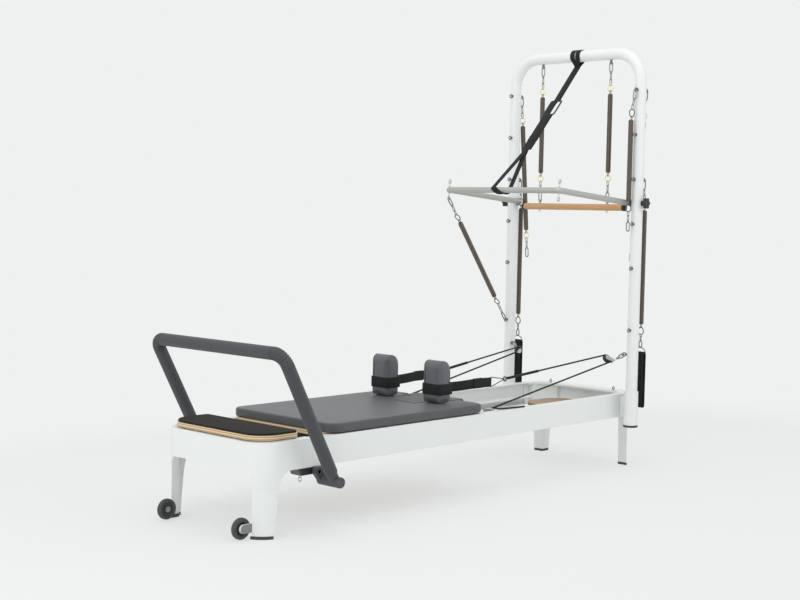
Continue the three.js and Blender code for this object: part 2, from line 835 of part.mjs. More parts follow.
// Push-through bar, in its own group at the pivot, with its arms towards -X
function pushBarSolid() {
  const reach = Math.hypot(pushBar.reach, pushBar.rise);
  const y = pushBarY;
  const corners = [at(0, -y, 0), at(-reach, -y, 0), at(-reach, y, 0), at(0, y, 0)];
  const bar = tube(bent(corners, pushBar.corner, pushBar.cornerSteps), pushBar.radius);
  const inner = postY - tower.radius - seat;
  const ends = [-1, 1].map((side) =>
    rod(at(0, side * (inner - pushBar.bossWidth - pushBar.radius), 0), at(0, side * inner, 0), pushBar.boss));
  const bores = [-1, 1].map((side) =>
    rod(at(0, side * (y - pushBar.radius / 2), 0), at(0, side * (inner + overrun), 0),
      boreFor(knob.stud, pinSides), pinSides));
  const eyes = [-1, 1].map((side) => [-1, 1].map((up) => {
    const above = pushBar.eyeOut - eyelet.ring;
    return eye(pushBarCorner(side).setZ(up * above), at(0, 0, up), at(0, 1, 0), above);
  })).flat();
  return cut(join(bar, ends, eyes), bores);
}

// Pivot knob: lobed grip on a stud that passes through the post into the bar's end
function knobSolid(side) {
  const outer = postY + tower.radius + seat;
  const grip = outer + knob.stemLength;
  const shape = new THREE.Shape();
  const steps = knob.lobes * knob.lobeSteps;
  for (let i = 0; i < steps; i += 1) {
    const angle = (2 * Math.PI * i) / steps;
    const radius = knob.radius * (1 - knob.lobeShare * (1 - Math.cos(knob.lobes * angle)) / 2);
    if (i === 0) shape.moveTo(radius, 0);
    else shape.lineTo(radius * Math.cos(angle), radius * Math.sin(angle));
  }
  const ys = [side * grip, side * (grip + knob.thickness)].sort((a, b) => a - b);
  const head = slab(shape, 'y', ...ys, { bevel: knob.bevel, bevelSegments: 1 });
  const stem = rod(at(0, side * outer, 0), at(0, side * (grip + knob.bevel), 0), knob.stem, rodSides);
  const stud = rod(at(0, side * (pushBarY - pushBar.radius / 2 + seat), 0),
    at(0, side * (outer + overrun), 0),
    knob.stud, pinSides);
  return join(head, stem, stud);
}

// Hanging springs: hook through an eye, ring, close-wound barrel, ring and hook, drawn down from the eye
const hookDrop = eyelet.ring - eyelet.wire - hook.wire - linkGap;

function barrelSolid(start, end, sway) {
  const { radius, neck, taper } = barrel;
  const length = end - start;
  return turned([
    [0, 0],
    [0, neck],
    [taper, radius],
    [length - taper, radius],
    [length, neck],
    [length, 0],
  ], at(sway.x, sway.y, -start), at(0, 0, -1), pinSides);
}

function springRingSolid(x, y, z, size) {
  const { halfWidth, halfHeight, wire } = size;
  return ring(at(x, y, z), at(1, 0, 0), halfWidth - wire, wire,
    { reach: halfHeight - wire, steps: hookSteps });
}

// A spring hung from an eye at the origin; its barrel can stand off sideways from the eye
function hangingSpring({ topLength: start, lowLength }, hang, size, sway = at(0, 0, 0)) {
  const end = hang - lowLength;
  const upperHook = hookDrop + hook.ring;
  const upperRing = start - barrel.gap - size.halfHeight;
  const lowerRing = end + barrel.gap + size.halfHeight;
  const lowerHook = hang - hook.ring;
  const share = upperRing / start;
  const necks = [
    [at(0, 0, -upperHook - hook.ring),
      at(sway.x * share, sway.y * share, size.halfHeight - upperRing - size.wire)],
    [at(sway.x * share, sway.y * share, size.wire - upperRing - size.halfHeight), at(sway.x, sway.y, -start)],
    [at(sway.x, sway.y, -end), at(sway.x, sway.y, size.halfHeight - lowerRing - size.wire)],
    [at(sway.x, sway.y, size.wire - lowerRing - size.halfHeight), at(sway.x, sway.y, hook.ring - lowerHook)],
  ].map(([from, to]) => rod(from, to, hook.shank, wireSides));
  return join(
    barrelSolid(start, end, sway),
    ring(at(0, 0, -upperHook), at(1, 0, 0), hook.ring, hook.wire, { steps: hookSteps }),
    springRingSolid(sway.x * share, sway.y * share, -upperRing, size),
    springRingSolid(sway.x, sway.y, -lowerRing, size),
    ring(at(sway.x, sway.y, -lowerHook), at(1, 0, 0), hook.ring, hook.wire, { steps: hookSteps }),
    necks,
  );
}

// Five-sided ring that holds the webbing of a leg strap, below the hook at the given point
function strapRingSolid(top) {
  const half = legStrap.width / 2 + 2 * legStrap.ringWire;
  const bars = [[0, 0], [half, -legStrap.ringShoulder], [half, -legStrap.ringHeight],
    [-half, -legStrap.ringHeight],
    [-half, -legStrap.ringShoulder]].map(([y, z]) => top.clone().add(at(0, y, z)));
  return bars.map((from, index) => {
    const to = bars[(index + 1) % bars.length];
    const past = to.clone().sub(from).setLength(legStrap.ringWire / 2);
    return rod(from.clone().sub(past), to.clone().add(past), legStrap.ringWire, wireSides);
  });
}

// Webbing loop of a leg strap, hung on its ring below the spring
function legStrapSolid() {
  const { width, height, depth, thickness } = legStrap;
  const outer = slab(rectangle(-depth / 2, depth / 2, -height, 0, depth / 2 - seat), 'y', -width / 2,
    width / 2);
  const inner = slab(rectangle(thickness - depth / 2, depth / 2 - thickness, thickness - height, -thickness,
    depth / 2 - thickness - seat), 'y', -width / 2 - overrun, width / 2 + overrun);
  return outer.subtract(inner);
}

// Roll-down bar with end caps and eyes for its springs
function rollBarSolid() {
  const half = rollBarHalf;
  const bar = rod(at(0, -half, 0), at(0, half, 0), rollBar.radius);
  const caps = [-1, 1].map((side) =>
    rod(at(0, side * (half - rollBar.cap), 0), at(0, side * half, 0), rollBar.radius + rollBar.capProud));
  const eyes = [-1, 1].map((side) =>
    eye(at(0, side * barHookY, rollBar.radius), at(0, 0, 1), at(0, 1, 0)));
  return join(bar, caps, eyes);
}

// A flat tape along points, with its width along Y
function ribbon(points, width, thickness) {
  const route = new Route(points);
  const corners = points.flatMap((point, index) => {
    const along = route.getTangentAt(index / (points.length - 1)).setY(0).normalize();
    const out = at(-along.z, 0, along.x).multiplyScalar(thickness / 2);
    return [[1, 1], [-1, 1], [-1, -1], [1, -1]].map(([face, edge]) =>
      point.clone().addScaledVector(out, face).add(at(0, (edge * width) / 2, 0)));
  });
  const last = corners.length - 4;
  const faces = [[0, 1, 2], [0, 2, 3], [last, last + 2, last + 1], [last, last + 3, last + 2]];
  for (let row = 0; row < last; row += 4) {
    for (let k = 0; k < 4; k += 1) {
      const next = (k + 1) % 4;
      faces.push([row + k, row + 4 + k, row + next], [row + next, row + 4 + k, row + 4 + next]);
    }
  }
  const geometry = new THREE.BufferGeometry().setFromPoints(corners);
  geometry.setIndex(faces.flat());
  return solidOf(geometry);
}

// Points of a tape that leaves a place, goes round a bar and comes back to it
function aroundBar(place, bar, radius, startY, endY) {
  const line = place.clone().sub(bar).setY(0);
  const lean = Math.acos(radius / line.length());
  const first = Math.atan2(line.z, line.x) + lean;
  const sweep = 2 * Math.PI - 2 * lean;
  const wrap = Array.from({ length: safetyStrap.wrapSteps + 1 }, (_, step) => {
    const share = step / safetyStrap.wrapSteps;
    const angle = first + sweep * share;
    const y = bar.y + startY + (endY - startY) * share;
    return at(bar.x + radius * Math.cos(angle), y, bar.z + radius * Math.sin(angle));
  });
  return [place, ...wrap];
}

// Safety strap: two loops on the top bar, a neck, a keeper, a wide band and a sling round the cross bar
function safetyStrapSolid() {
  const { offset, loopWidth, neckWidth, bandWidth, legWidth, legSpread, thickness, slack } = safetyStrap;
  const top = at(0, offset, topBarZ);
  const bottom = at(-pushBar.reach, offset, pivotZ + pushBar.rise);
  const spot = (share) => top.clone().lerp(bottom, share);
  const [neck, hold, split] = [safetyStrap.neckShare, safetyStrap.keeperShare,
    safetyStrap.splitShare].map(spot);
  const around = thickness / 2 + slack;
  const loops = [-1, 1].flatMap((side) => {
    const y = (side * (loopWidth + slack)) / 2;
    const points = aroundBar(neck, top, tower.radius + around, y, y);
    return [ribbon(points, loopWidth, thickness), ribbon([points.at(-1), neck], loopWidth, thickness)];
  });
  const spread = legSpread / 2;
  const sling = aroundBar(split, bottom, pushBar.radius + around, spread, -spread);
  const slingBack = [sling.at(-1), split];
  const bands = [
    ribbon([neck, hold], neckWidth, 2 * thickness),
    ribbon([hold, split], bandWidth, 2 * thickness),
    ribbon(sling, legWidth, thickness),
    ribbon(slingBack, legWidth, thickness),
  ];
  const along = bottom.clone().sub(top).normalize();
  const loop = ring(hold, at(along.z, 0, -along.x), keeper.halfHeight, keeper.wire,
    { towards: at(0, 1, 0), reach: keeper.halfWidth });
  return join(loops, bands, loop);
}

// Footbar, in its own group at the pivot
function footbarRoute() {
  const { crankX, crankZ, topX, topZ } = footbar;
  const y = footbarY;
  return [at(crankX, -y, crankZ), at(topX, -y, topZ), at(topX, y, topZ), at(crankX, y, crankZ)];
}

function footbarFrame() {
  const { crankX, crankZ, tube: radius, corner, cornerSteps, stubOut, sideGap, boss: bossRadius } = footbar;
  const bow = tube(bent(footbarRoute(), corner, cornerSteps), radius);
  const ends = [-1, 1].map((side) => {
    const inner = halfWidth + sideGap;
    const stub = rod(at(crankX, side * (footbarY + stubOut), crankZ), at(crankX, side * inner, crankZ),
      radius);
    const ys = [side * inner, side * (inner + footbar.bossWidth)].sort((a, b) => a - b);
    const across = at(-crankZ, 0, crankX).setLength(bossRadius);
    const web = slab(outline([
      [across.x, across.z],
      [-across.x, -across.z],
      [crankX - across.x, crankZ - across.z],
      [crankX + across.x, crankZ + across.z],
    ]), 'y', ...ys);
    const hub = rod(at(0, ys[0], 0), at(0, ys[1], 0), bossRadius);
    return [stub, web, hub];
  }).flat();
  const bores = [-1, 1].map((side) =>
    rod(at(0, side * (halfWidth - overrun), 0), at(0, side * (footbarY - radius), 0),
      boreFor(footbar.pin, rodSides), rodSides));
  return cut(join(bow, ends), bores);
}

function footbarPad(from, to, trimStart, trimEnd) {
  const direction = to.clone().sub(from).normalize();
  const start = from.clone().addScaledVector(direction, trimStart);
  const end = to.clone().addScaledVector(direction, -trimEnd);
  const past = direction.clone().multiplyScalar(overrun);
  const bore = rod(start.clone().sub(past), end.clone().add(past), boreFor(footbar.tube, tubeSides));
  return rod(start, end, footbar.pad).subtract(bore);
}

// Carriers under the rails that hold the footbar's pivots, tied by one tube
function carrierSolid() {
  const { back, front, height, slant, width, lip, lipThickness, hookThickness, tie } = carrier;
  const top = railBottom - seat - footbar.pivotHeight;
  const sides = [-1, 1].map((side) => {
    const outer = halfWidth;
    const ys = [side * (outer - width), side * outer].sort((a, b) => a - b);
    const plate = slab(outline([
      [-back, top],
      [slant - back, top - height],
      [front, top - height],
      [front, top],
    ]), 'y', ...ys);
    const inside = halfWidth - rail.lowerFlange - seat;
    const hookYs = [side * (inside - hookThickness), side * inside].sort((a, b) => a - b);
    const lipYs = [side * (inside - hookThickness), side * (inside + lip)].sort((a, b) => a - b);
    const flangeTop = railBottom + rail.flange + seat - footbar.pivotHeight;
    const hookPlate = block(-front, front, ...hookYs, top - height / 2, flangeTop + lipThickness);
    const lipPlate = block(-front, front, ...lipYs, flangeTop, flangeTop + lipThickness);
    const bridge = block(-front, front, ...[side * (inside - hookThickness), side * (outer - width + overrun)]
      .sort((a, b) => a - b), top - height, top);
    const pin = rod(at(0, side * (outer - width / 2), 0),
      at(0, side * (outer + footbar.sideGap + footbar.bossWidth), 0), footbar.pin, rodSides);
    const hole = rod(at(-lockRing.back, side * (outer - width / 2), top - height - overrun),
      at(-lockRing.back, side * (outer - width / 2), top - height + lockRing.stemIn + seat),
        boreFor(lockRing.stem, pinSides), pinSides);
    return { solid: join(plate, hookPlate, lipPlate, bridge, pin), hole };
  });
  const tieTube = rod(at(0, width - halfWidth - overrun, top - height / 2),
    at(0, halfWidth - width + overrun, top - height / 2), tie, rodSides);
  return cut(join(sides.map((one) => one.solid), tieTube), sides.map((one) => one.hole));
}

function lockRingSolid(side) {
  const bottom = railBottom - seat - footbar.pivotHeight - carrier.height;
  const y = side * (halfWidth - carrier.width / 2);
  const stem = rod(at(-lockRing.back, y, bottom + lockRing.stemIn),
    at(-lockRing.back, y, bottom - lockRing.stemOut),
    lockRing.stem, pinSides);
  const loop = ring(at(-lockRing.back, y, bottom - lockRing.stemOut - lockRing.ring), at(0, 1, 0),
    lockRing.ring,
    lockRing.wire, { steps: hookSteps });
  return join(stem, loop);
}

// Carriage, in its own group whose x = 0 is the mattress's foot edge
const boardBottom = boardTop - carriage.board;

function restPostSolid(side, grow, bottom, top) {
  const x = mattress.length - rest.fromHead;
  const y = side * rest.halfSpan;
  const halfX = restPost.depth / 2 + grow;
  const halfY = restPost.width / 2 + grow;
  return block(x - halfX, x + halfX, y - halfY, y + halfY, bottom, top);
}

function boardSolid() {
  const half = halfWidth - carriage.boardInset;
  const board = slab(rectangle(-carriage.boardLead, mattress.length - overrun, -half, half, restPost.width),
    'z', boardBottom, boardTop);
  const holes = [-1, 1].map((side) => restPostSolid(side, seat, boardBottom - overrun, boardTop + overrun));
  return cut(board, holes);
}

function mattressSolid() {
  const { length, overhang, corner, bevel } = mattress;
  const gap = headrest.gap;
  const half = halfWidth + overhang;
  const narrow = headrest.narrowHalf + gap;
  const wide = headrest.wideHalf + gap;
  const back = length + headrest.reach - headrest.length - gap;
  const step = length + headrest.reach - headrest.wideLength - gap;
  const shape = outline([
    [0, -half, corner],
    [length, -half, corner],
    [length, -wide, mattress.slotCorner],
    [step, -wide],
    [step, -narrow],
    [back, -narrow],
    [back, narrow],
    [step, narrow],
    [step, wide],
    [length, wide, mattress.slotCorner],
    [length, half, corner],
    [0, half, corner],
  ]);
  const padding = slab(shape, 'z', boardTop + seat, carriage.top, { bevel, bevelSegments: 1 });
  const holes = [-1, 1].map((side) => restPostSolid(side, restPost.hole, boardTop - overrun,
    carriage.top + overrun));
  return cut(padding, holes);
}

function headrestSolid() {
  const end = mattress.length + headrest.reach;
  const { narrowHalf, wideHalf, corner } = headrest;
  const start = end - headrest.length;
  const step = end - headrest.wideLength;
  const shape = outline([
    [start, -narrowHalf, mattress.slotCorner],
    [step, -narrowHalf],
    [step, -wideHalf, mattress.slotCorner],
    [end, -wideHalf, corner],
    [end, wideHalf, corner],
    [step, wideHalf, mattress.slotCorner],
    [step, narrowHalf],
    [start, narrowHalf, mattress.slotCorner],
  ]);
  return slab(shape, 'z', boardTop + 2 * seat, carriage.top, { bevel: mattress.bevel, bevelSegments: 1 });
}

function shoulderRest(side) {
  const x = mattress.length - rest.fromHead;
  const y = side * rest.halfSpan;
  const bottom = carriage.top + rest.lift;
  const top = bottom + rest.height;
  const half = rest.depth / 2;
  const shape = outline([
    [x - half, bottom, rest.corner],
    [x + half, bottom, rest.corner],
    [x + half, top, half - rest.bevel],
    [x - half, top, half - rest.bevel],
  ]);
  return slab(shape, 'y', y - rest.width / 2, y + rest.width / 2, { bevel: rest.bevel });
}

// Metal chassis under the board: side beams, roller hangers, spring anchor, rest posts and rope cleats
function chassisSolid() {
  const { beamWidth, beamHeight, hanger, anchorFromEdge, reach, cleat } = chassis;
  const top = boardBottom - seat;
  const axleZ = rail.trackTop + seat + roller.radius;
  const beams = [-1, 1].map((side) => {
    const ys = [side * beamY, side * (beamY + beamWidth)].sort((a, b) => a - b);
    return block(0, mattress.length + reach, ...ys, top - beamHeight, top);
  });
  const cross = [roller.frontFromEdge, roller.backFromEdge].map((x) =>
    block(x - hanger / 2, x + hanger / 2, -beamY - seat, beamY + seat, top - beamHeight, top));
  const hangers = [roller.frontFromEdge, roller.backFromEdge].flatMap((x) => [-1, 1].map((side) => {
    const ys = [side * beamY, side * (beamY + beamWidth / 2)].sort((a, b) => a - b);
    return block(x - hanger / 2, x + hanger / 2, ...ys, axleZ - hanger / 2, top);
  }));
  const axleHoles = [roller.frontFromEdge, roller.backFromEdge].map((x) =>
    rod(at(x, -halfWidth, axleZ), at(x, halfWidth, axleZ), boreFor(roller.axle, pinSides), pinSides));
  const spread = (carriageSpring.count * carriageSpring.pitch) / 2;
  const bottom = springBar.top - springBar.height;
  const plate = block(anchorFromEdge - springBar.thickness / 2, anchorFromEdge + springBar.thickness / 2,
    -spread, spread,
    bottom, springBar.top);
  const stays = [-1, 1].map((side) => {
    const ys = [side * (spread - overrun), side * (spread + hanger)].sort((a, b) => a - b);
    return block(anchorFromEdge - springBar.thickness / 2, anchorFromEdge + springBar.thickness / 2, ...ys,
      bottom, top);
  });
  const anchorBeam = block(anchorFromEdge - hanger / 2, anchorFromEdge + hanger / 2, -beamY - seat,
    beamY + seat,
    top - beamHeight, top);
  const slots = springPlaces().map((y) => block(anchorFromEdge - hanger, anchorFromEdge + hanger,
    y - springBar.slot / 2, y + springBar.slot / 2, springBar.top - springBar.slotDepth,
      springBar.top + seat));
  const posts = [-1, 1].map((side) => join(
    restPostSolid(side, 0, top - beamHeight, carriage.top + rest.lift - seat),
    block(mattress.length - rest.fromHead - restPost.depth / 2,
      mattress.length - rest.fromHead + restPost.depth / 2,
      ...[side * rest.halfSpan, side * (beamY + seat)].sort((a, b) => a - b), top - beamHeight, top)));
  const cleats = [-1, 1].map((side) => {
    const ys = [side * beamY, side * (innerRail - overrun)].sort((a, b) => a - b);
    return block(mattress.length + reach - cleat, mattress.length + reach, ...ys, top - beamHeight,
      boardTop - seat);
  });
  const body = join(beams, cross, hangers, plate, stays, anchorBeam, posts, cleats);
  return cut(body, axleHoles, slots);
}

function rollerPair() {
  const { radius, width, axle, chamfer } = roller;
  const z = rail.trackTop + seat + radius;
  const axleRod = rod(at(0, -rollerY, z), at(0, rollerY, z), axle, pinSides);
  const wheels = [-1, 1].map((side) => {
    const start = at(0, side * (rollerY - width / 2), z);
    return turned([
      [0, 0],
      [0, radius - chamfer],
      [chamfer, radius],
      [width - chamfer, radius],
      [width, radius - chamfer],
      [width, 0],
    ], start, at(0, side, 0));
  });
  return join(axleRod, wheels);
}

// Hand strap: webbing round the shoulder rest, gathered behind it and run to the rope's ring
function handStrapSolid(side) {
  const { gap, thickness, bottom, height, joinX, endX, endY, cord } = handStrap;
  const centreX = mattress.length - rest.fromHead;
  const halfX = rest.depth / 2 + gap;
  const halfY = rest.width / 2 + gap;
  const y = (value) => side * value;
  const loopAt = (grow) => outline([
    [centreX - halfX - grow, y(rest.halfSpan - halfY - grow), rest.corner],
    [centreX + halfX + grow, y(rest.halfSpan - halfY - grow), rest.corner],
    [centreX + joinX - thickness + grow, y(rest.halfSpan + thickness - grow / 2)],
    [centreX + joinX - thickness + grow, y(rest.halfSpan + 2 * thickness + grow / 2)],
    [centreX + halfX + grow, y(rest.halfSpan + halfY + grow), rest.corner],
    [centreX - halfX - grow, y(rest.halfSpan + halfY + grow), rest.corner],
  ]);
  const loop = slab(loopAt(thickness), 'z', bottom, bottom + height)
    .subtract(slab(loopAt(0), 'z', bottom - overrun, bottom + height + overrun));
  const tail = slab(outline([
    [centreX + joinX - thickness, y(rest.halfSpan + thickness)],
    [centreX + endX, y(endY - thickness)],
    [centreX + endX, y(endY + thickness)],
    [centreX + joinX - thickness, y(rest.halfSpan + 2 * thickness + thickness)],
  ]), 'z', bottom, bottom + height);
  const eyeCentre = at(centreX + strapRing.x, y(strapRing.y), strapRing.z);
  const direction = eyeCentre.clone().sub(at(centreX + endX, y(endY), bottom + height / 2)).normalize();
  const near = eyeCentre.clone().addScaledVector(direction, -strapRing.radius);
  const cords = [cord * 2, height - cord * 2].map((up) =>
    rod(at(centreX + endX - thickness, y(endY), bottom + up), near, cord, wireSides));
  return join(loop, tail, cords, ring(eyeCentre, at(0, 1, 0), strapRing.radius, strapRing.wire));
}

// Pulleys and ropes, in the frame's coordinates
const pulleyCentre = (side) => at(towerX - pulley.back, side * pulleyY, pulley.height);
const restX = carriageX + mattress.length - rest.fromHead;
const ringPoint = (side) => at(restX + strapRing.x, side * strapRing.y, strapRing.z);
const cleatPoint = (side) => at(carriageX + mattress.length + chassis.reach - chassis.cleat / 2,
  side * (innerRail - overrun - rope.radius), ropeHeight);

function pulleyAxis(side) {
  const centre = pulleyCentre(side);
  return ringPoint(side).sub(centre).cross(cleatPoint(side).sub(centre)).normalize();
}

// The point between the block's cheeks that its link pulls on, and the way there from the post
const postPoint = (side) => at(towerX, side * postY, pulleyBlock.eyeHeight);

function pulleyBridge(side) {
  const centre = pulleyCentre(side);
  const axis = pulleyAxis(side);
  const pull = postPoint(side).sub(centre);
  return pull.addScaledVector(axis, -pull.dot(axis)).setLength(pulleyBlock.reach).add(centre);
}

const pulleyDirection = (side) => pulleyBridge(side).sub(postPoint(side)).setZ(0).normalize();

// Where a rope from a point touches the sheave, on the side away from the other run
function touch(side, from, other) {
  const centre = pulleyCentre(side);
  const axis = pulleyAxis(side);
  const out = from.clone().sub(centre);
  const distance = out.length();
  const around = pulley.radius - pulley.groove + rope.radius + seat;
  const along = out.clone().normalize();
  const across = axis.clone().cross(along);
  if (across.dot(other.clone().sub(centre)) > 0) across.negate();
  const turn = Math.acos(around / distance);
  return centre.clone()
    .addScaledVector(along, around * Math.cos(turn))
    .addScaledVector(across, around * Math.sin(turn));
}

function ropeSolid(side) {
  const centre = pulleyCentre(side);
  const ringAt = ringPoint(side);
  const cleat = cleatPoint(side);
  const high = touch(side, ringAt, cleat);
  const low = touch(side, cleat, ringAt);
  const start = ringAt.clone().lerp(high,
    (strapRing.radius + strapRing.wire + 2 * seat) / ringAt.distanceTo(high));
  const spokeHigh = high.clone().sub(centre);
  const spokeLow = low.clone().sub(centre);
  const away = high.clone().sub(ringAt).normalize();
  const axis = spokeHigh.clone().cross(away).normalize();
  const swept = Math.atan2(axis.dot(spokeHigh.clone().cross(spokeLow)), spokeHigh.dot(spokeLow));
  const sweep = swept < 0 ? swept + 2 * Math.PI : swept;
  const wrap = Array.from({ length: rope.wrapSteps + 1 }, (_, step) =>
    spokeHigh.clone().applyAxisAngle(axis, (sweep * step) / rope.wrapSteps).add(centre));
  return tube([start, ...wrap, cleat], rope.radius, pinSides);
}

function sheaveSolid(side) {
  const axis = pulleyAxis(side);
  const { radius, groove, width, rim, bore } = pulley;
  const start = pulleyCentre(side).addScaledVector(axis, -width / 2);
  const body = turned([
    [0, 0],
    [0, radius],
    [rim, radius],
    [(width - rope.radius) / 2, radius - groove],
    [(width + rope.radius) / 2, radius - groove],
    [width - rim, radius],
    [width, radius],
    [width, 0],
  ], start, axis);
  const past = axis.clone().multiplyScalar(overrun);
  const end = pulleyCentre(side).addScaledVector(axis, width / 2);
  return body.subtract(rod(start.clone().sub(past), end.add(past), boreFor(bore, pinSides), pinSides));
}

// Pulley block: two cheeks on the sheave's pin, bridged behind it, on a link through the post's eye
function pulleyBlockSolid(side) {
  const centre = pulleyCentre(side);
  const axis = pulleyAxis(side);
  const outward = pulleyDirection(side);
  const eyeCentre = postPoint(side).addScaledVector(outward, eyeCentreOut);
  const bridge = pulleyBridge(side);
  const reach = bridge.clone().sub(centre);
  const half = pulley.width / 2 + seat;
  const offsets = [-1, 1].map((face) => axis.clone().multiplyScalar(face * (half + pulley.cheek)));
  const flat = new THREE.Matrix4().makeBasis(reach.clone().normalize(),
    axis.clone().cross(reach).normalize(), axis);
  const cheeks = [-1, 1].map((face) => {
    const shape = linkOutline(pulleyBlock.plate, pulleyBlock.bridge, pulleyBlock.reach);
    const geometry = new THREE.ExtrudeGeometry(shape,
      { depth: pulley.cheek, bevelEnabled: false, curveSegments: filletSegments });
    geometry.translate(0, 0, face > 0 ? half : -half - pulley.cheek);
    geometry.applyMatrix4(flat).translate(centre.x, centre.y, centre.z);
    return solidOf(geometry);
  });
  const pin = rod(centre.clone().add(offsets[0]), centre.clone().add(offsets[1]), pulley.bore, pinSides);
  const stay = rod(bridge.clone().add(offsets[0]), bridge.clone().add(offsets[1]),
    pulleyBlock.bridge - seat, pinSides);
  const away = eyeCentre.clone().sub(bridge).normalize();
  const gap = eyelet.ring - eyelet.wire - pulleyBlock.linkWire - linkGap;
  const linkCentre = eyeCentre.clone().addScaledVector(away, -gap - pulleyBlock.linkRing);
  const linkStart = linkCentre.clone().addScaledVector(away, -pulleyBlock.linkRing);
  const linkAxis = away.clone().cross(outward.cross(at(0, 0, 1))).normalize();
  const link = ring(linkCentre, linkAxis, pulleyBlock.linkRing, pulleyBlock.linkWire, { towards: away });
  return join(cheeks, pin, stay, rod(bridge, linkStart, pulleyBlock.swivel, wireSides), link);
}

function wheelSolid() {
  const { radius, width, hub, dish } = wheel;
  const half = width / 2;
  const tyre = turned([
    [-half + dish, 0],
    [-half + dish, hub],
    [-half, hub + dish],
    [-half, radius - dish],
    [-half + dish, radius],
    [half - dish, radius],
    [half, radius - dish],
    [half, hub + dish],
    [half - dish, hub],
    [half - dish, 0],
  ], at(0, 0, 0), at(0, 1, 0), wheel.sides);
  const hubs = rod(at(0, -half, 0), at(0, half, 0), hub - dish, tubeSides);
  const bore = rod(at(0, -half - overrun, 0), at(0, half + overrun, 0),
    boreFor(wheelBracket.pin, rodSides), rodSides);
  return cut(join(tyre, hubs), bore);
}

// Assembly
const sides = [['left', 1], ['right', -1]];
const part = new THREE.Group();

function addFrame() {
  addPart(part, 'foot_end_casting', footCasting(), looks.white);
  addPart(part, 'head_end_casting', headCasting(), looks.white);
  for (const [name, side] of sides) {
    addPart(part, `side_rail_${name}`, sideRail(side), looks.white);
    addPart(part, `foot_pad_front_${name}`, legPad(footEndPlan, footEnd, side), looks.rubber);
    addPart(part, `foot_pad_back_${name}`, legPad(headEndPlan, headEnd, side), looks.rubber);
    addPart(part, `transport_wheel_${name}`, wheelSolid(), looks.rubber).position.copy(wheelCentre(side));
    addPart(part, `pulley_sheave_${name}`, sheaveSolid(side), looks.blackPlastic);
    addPart(part, `pulley_block_${name}`, pulleyBlockSolid(side), looks.steel);
    addPart(part, `rope_${name}`, ropeSolid(side), looks.webbing);
  }
  addPart(part, 'standing_platform', platformBoard(), looks.ply);
  addPart(part, 'platform_grip_pad', platformPad(), looks.grip);
  addPart(part, 'spring_bar', springBarSolid(), looks.steel);
  addPart(part, 'head_shelf', shelfBoard(), looks.ply);
  springPlaces().forEach((y, index) =>
    addPart(part, `carriage_spring_${index + 1}`, carriageSpringSolid(y), looks.steel));
}

function addTower() {
  const group = new THREE.Group();
  group.position.set(towerX, 0, 0);
  part.add(group);
  addPart(group, 'tower_frame', towerFrame(), looks.white);
  addPart(group, 'safety_strap', safetyStrapSolid(), looks.webbing);
  const pivot = new THREE.Group();
  pivot.position.set(0, 0, pivotZ);
  group.add(pivot);
  addPart(pivot, 'push_through_bar', pushBarSolid(), looks.aluminium).rotation.y = Math.atan2(pushBar.rise,
    pushBar.reach);
  addPart(group, 'roll_down_bar', rollBarSolid(), looks.wood).position.z = rollBarZ;
  addBarSprings(group);
  for (const [name, side] of sides) {
    addPart(group, `post_socket_${name}`, socketSolid(side), looks.white);
    addPart(pivot, `pivot_knob_${name}`, knobSolid(side), looks.blackPlastic);
    addTowerSprings(group, name, side);
  }
}

// One spare bar spring hangs on the right post; the other is drawn between the bar and the left post
function addBarSprings(group) {
  const heights = eyeHeights();
  const sway = at(barSpring.swayX, barSpring.swayY, 0);
  const spare = addPart(group, 'spare_bar_spring',
    hangingSpring(barSpring, barSpring.hangLength, longRing, sway),
    looks.spring);
  spare.position.set(-eyeCentreOut, -postY, heights[0]);
  const pitch = Math.atan2(pushBar.rise, pushBar.reach);
  const low = pushBarCorner(1).setZ(-pushBar.eyeOut).applyAxisAngle(at(0, 1, 0), pitch).add(at(0, 0, pivotZ));
  const postEye = at(-eyeCentreOut, postY, heights.at(-1));
  const line = postEye.clone().sub(low);
  const length = line.length();
  const drawn = addPart(group, 'push_bar_spring', hangingSpring(drawnSpring, length - hookDrop, longRing),
    looks.spring);
  drawn.position.copy(low);
  drawn.quaternion.setFromUnitVectors(at(0, 0, -1), line.normalize());
}

function addTowerSprings(group, name, side) {
  const heights = eyeHeights();
  const post = side * postY;
  const barEyeZ = topBarZ - eyeCentreOut;
  const rollHang = barEyeZ - rollBarZ - rollBar.radius - eyelet.ring - hookDrop;
  const roll = addPart(group, `roll_down_spring_${name}`,
    hangingSpring(rollSpring, rollHang, roundRing), looks.spring);
  roll.position.set(0, side * barHookY, barEyeZ);
  const arm = addPart(group, `arm_spring_${name}`,
    hangingSpring(armSpring, armSpring.hangLength, roundRing), looks.spring);
  arm.position.set(headEyeOut, post, heights[0]);
  arm.rotation.x = -side * THREE.MathUtils.degToRad(armSpring.leanDegrees);
  const legGroup = new THREE.Group();
  legGroup.position.set(headEyeOut, post, heights[2]);
  group.add(legGroup);
  const sway = at(legSpring.swayX, 0, 0);
  const strapTop = at(legSpring.swayX, 0, -legSpring.hangLength - hook.wire);
  addPart(legGroup, `leg_spring_${name}`, join(
    hangingSpring(legSpring, legSpring.hangLength, longRing, sway),
    strapRingSolid(strapTop),
  ), looks.spring);
  const strap = addPart(legGroup, `leg_strap_${name}`, legStrapSolid(), looks.webbing);
  strap.position.copy(strapTop);
  strap.position.z += legStrap.thickness + legStrap.ringWire + seat - legStrap.ringHeight;
}

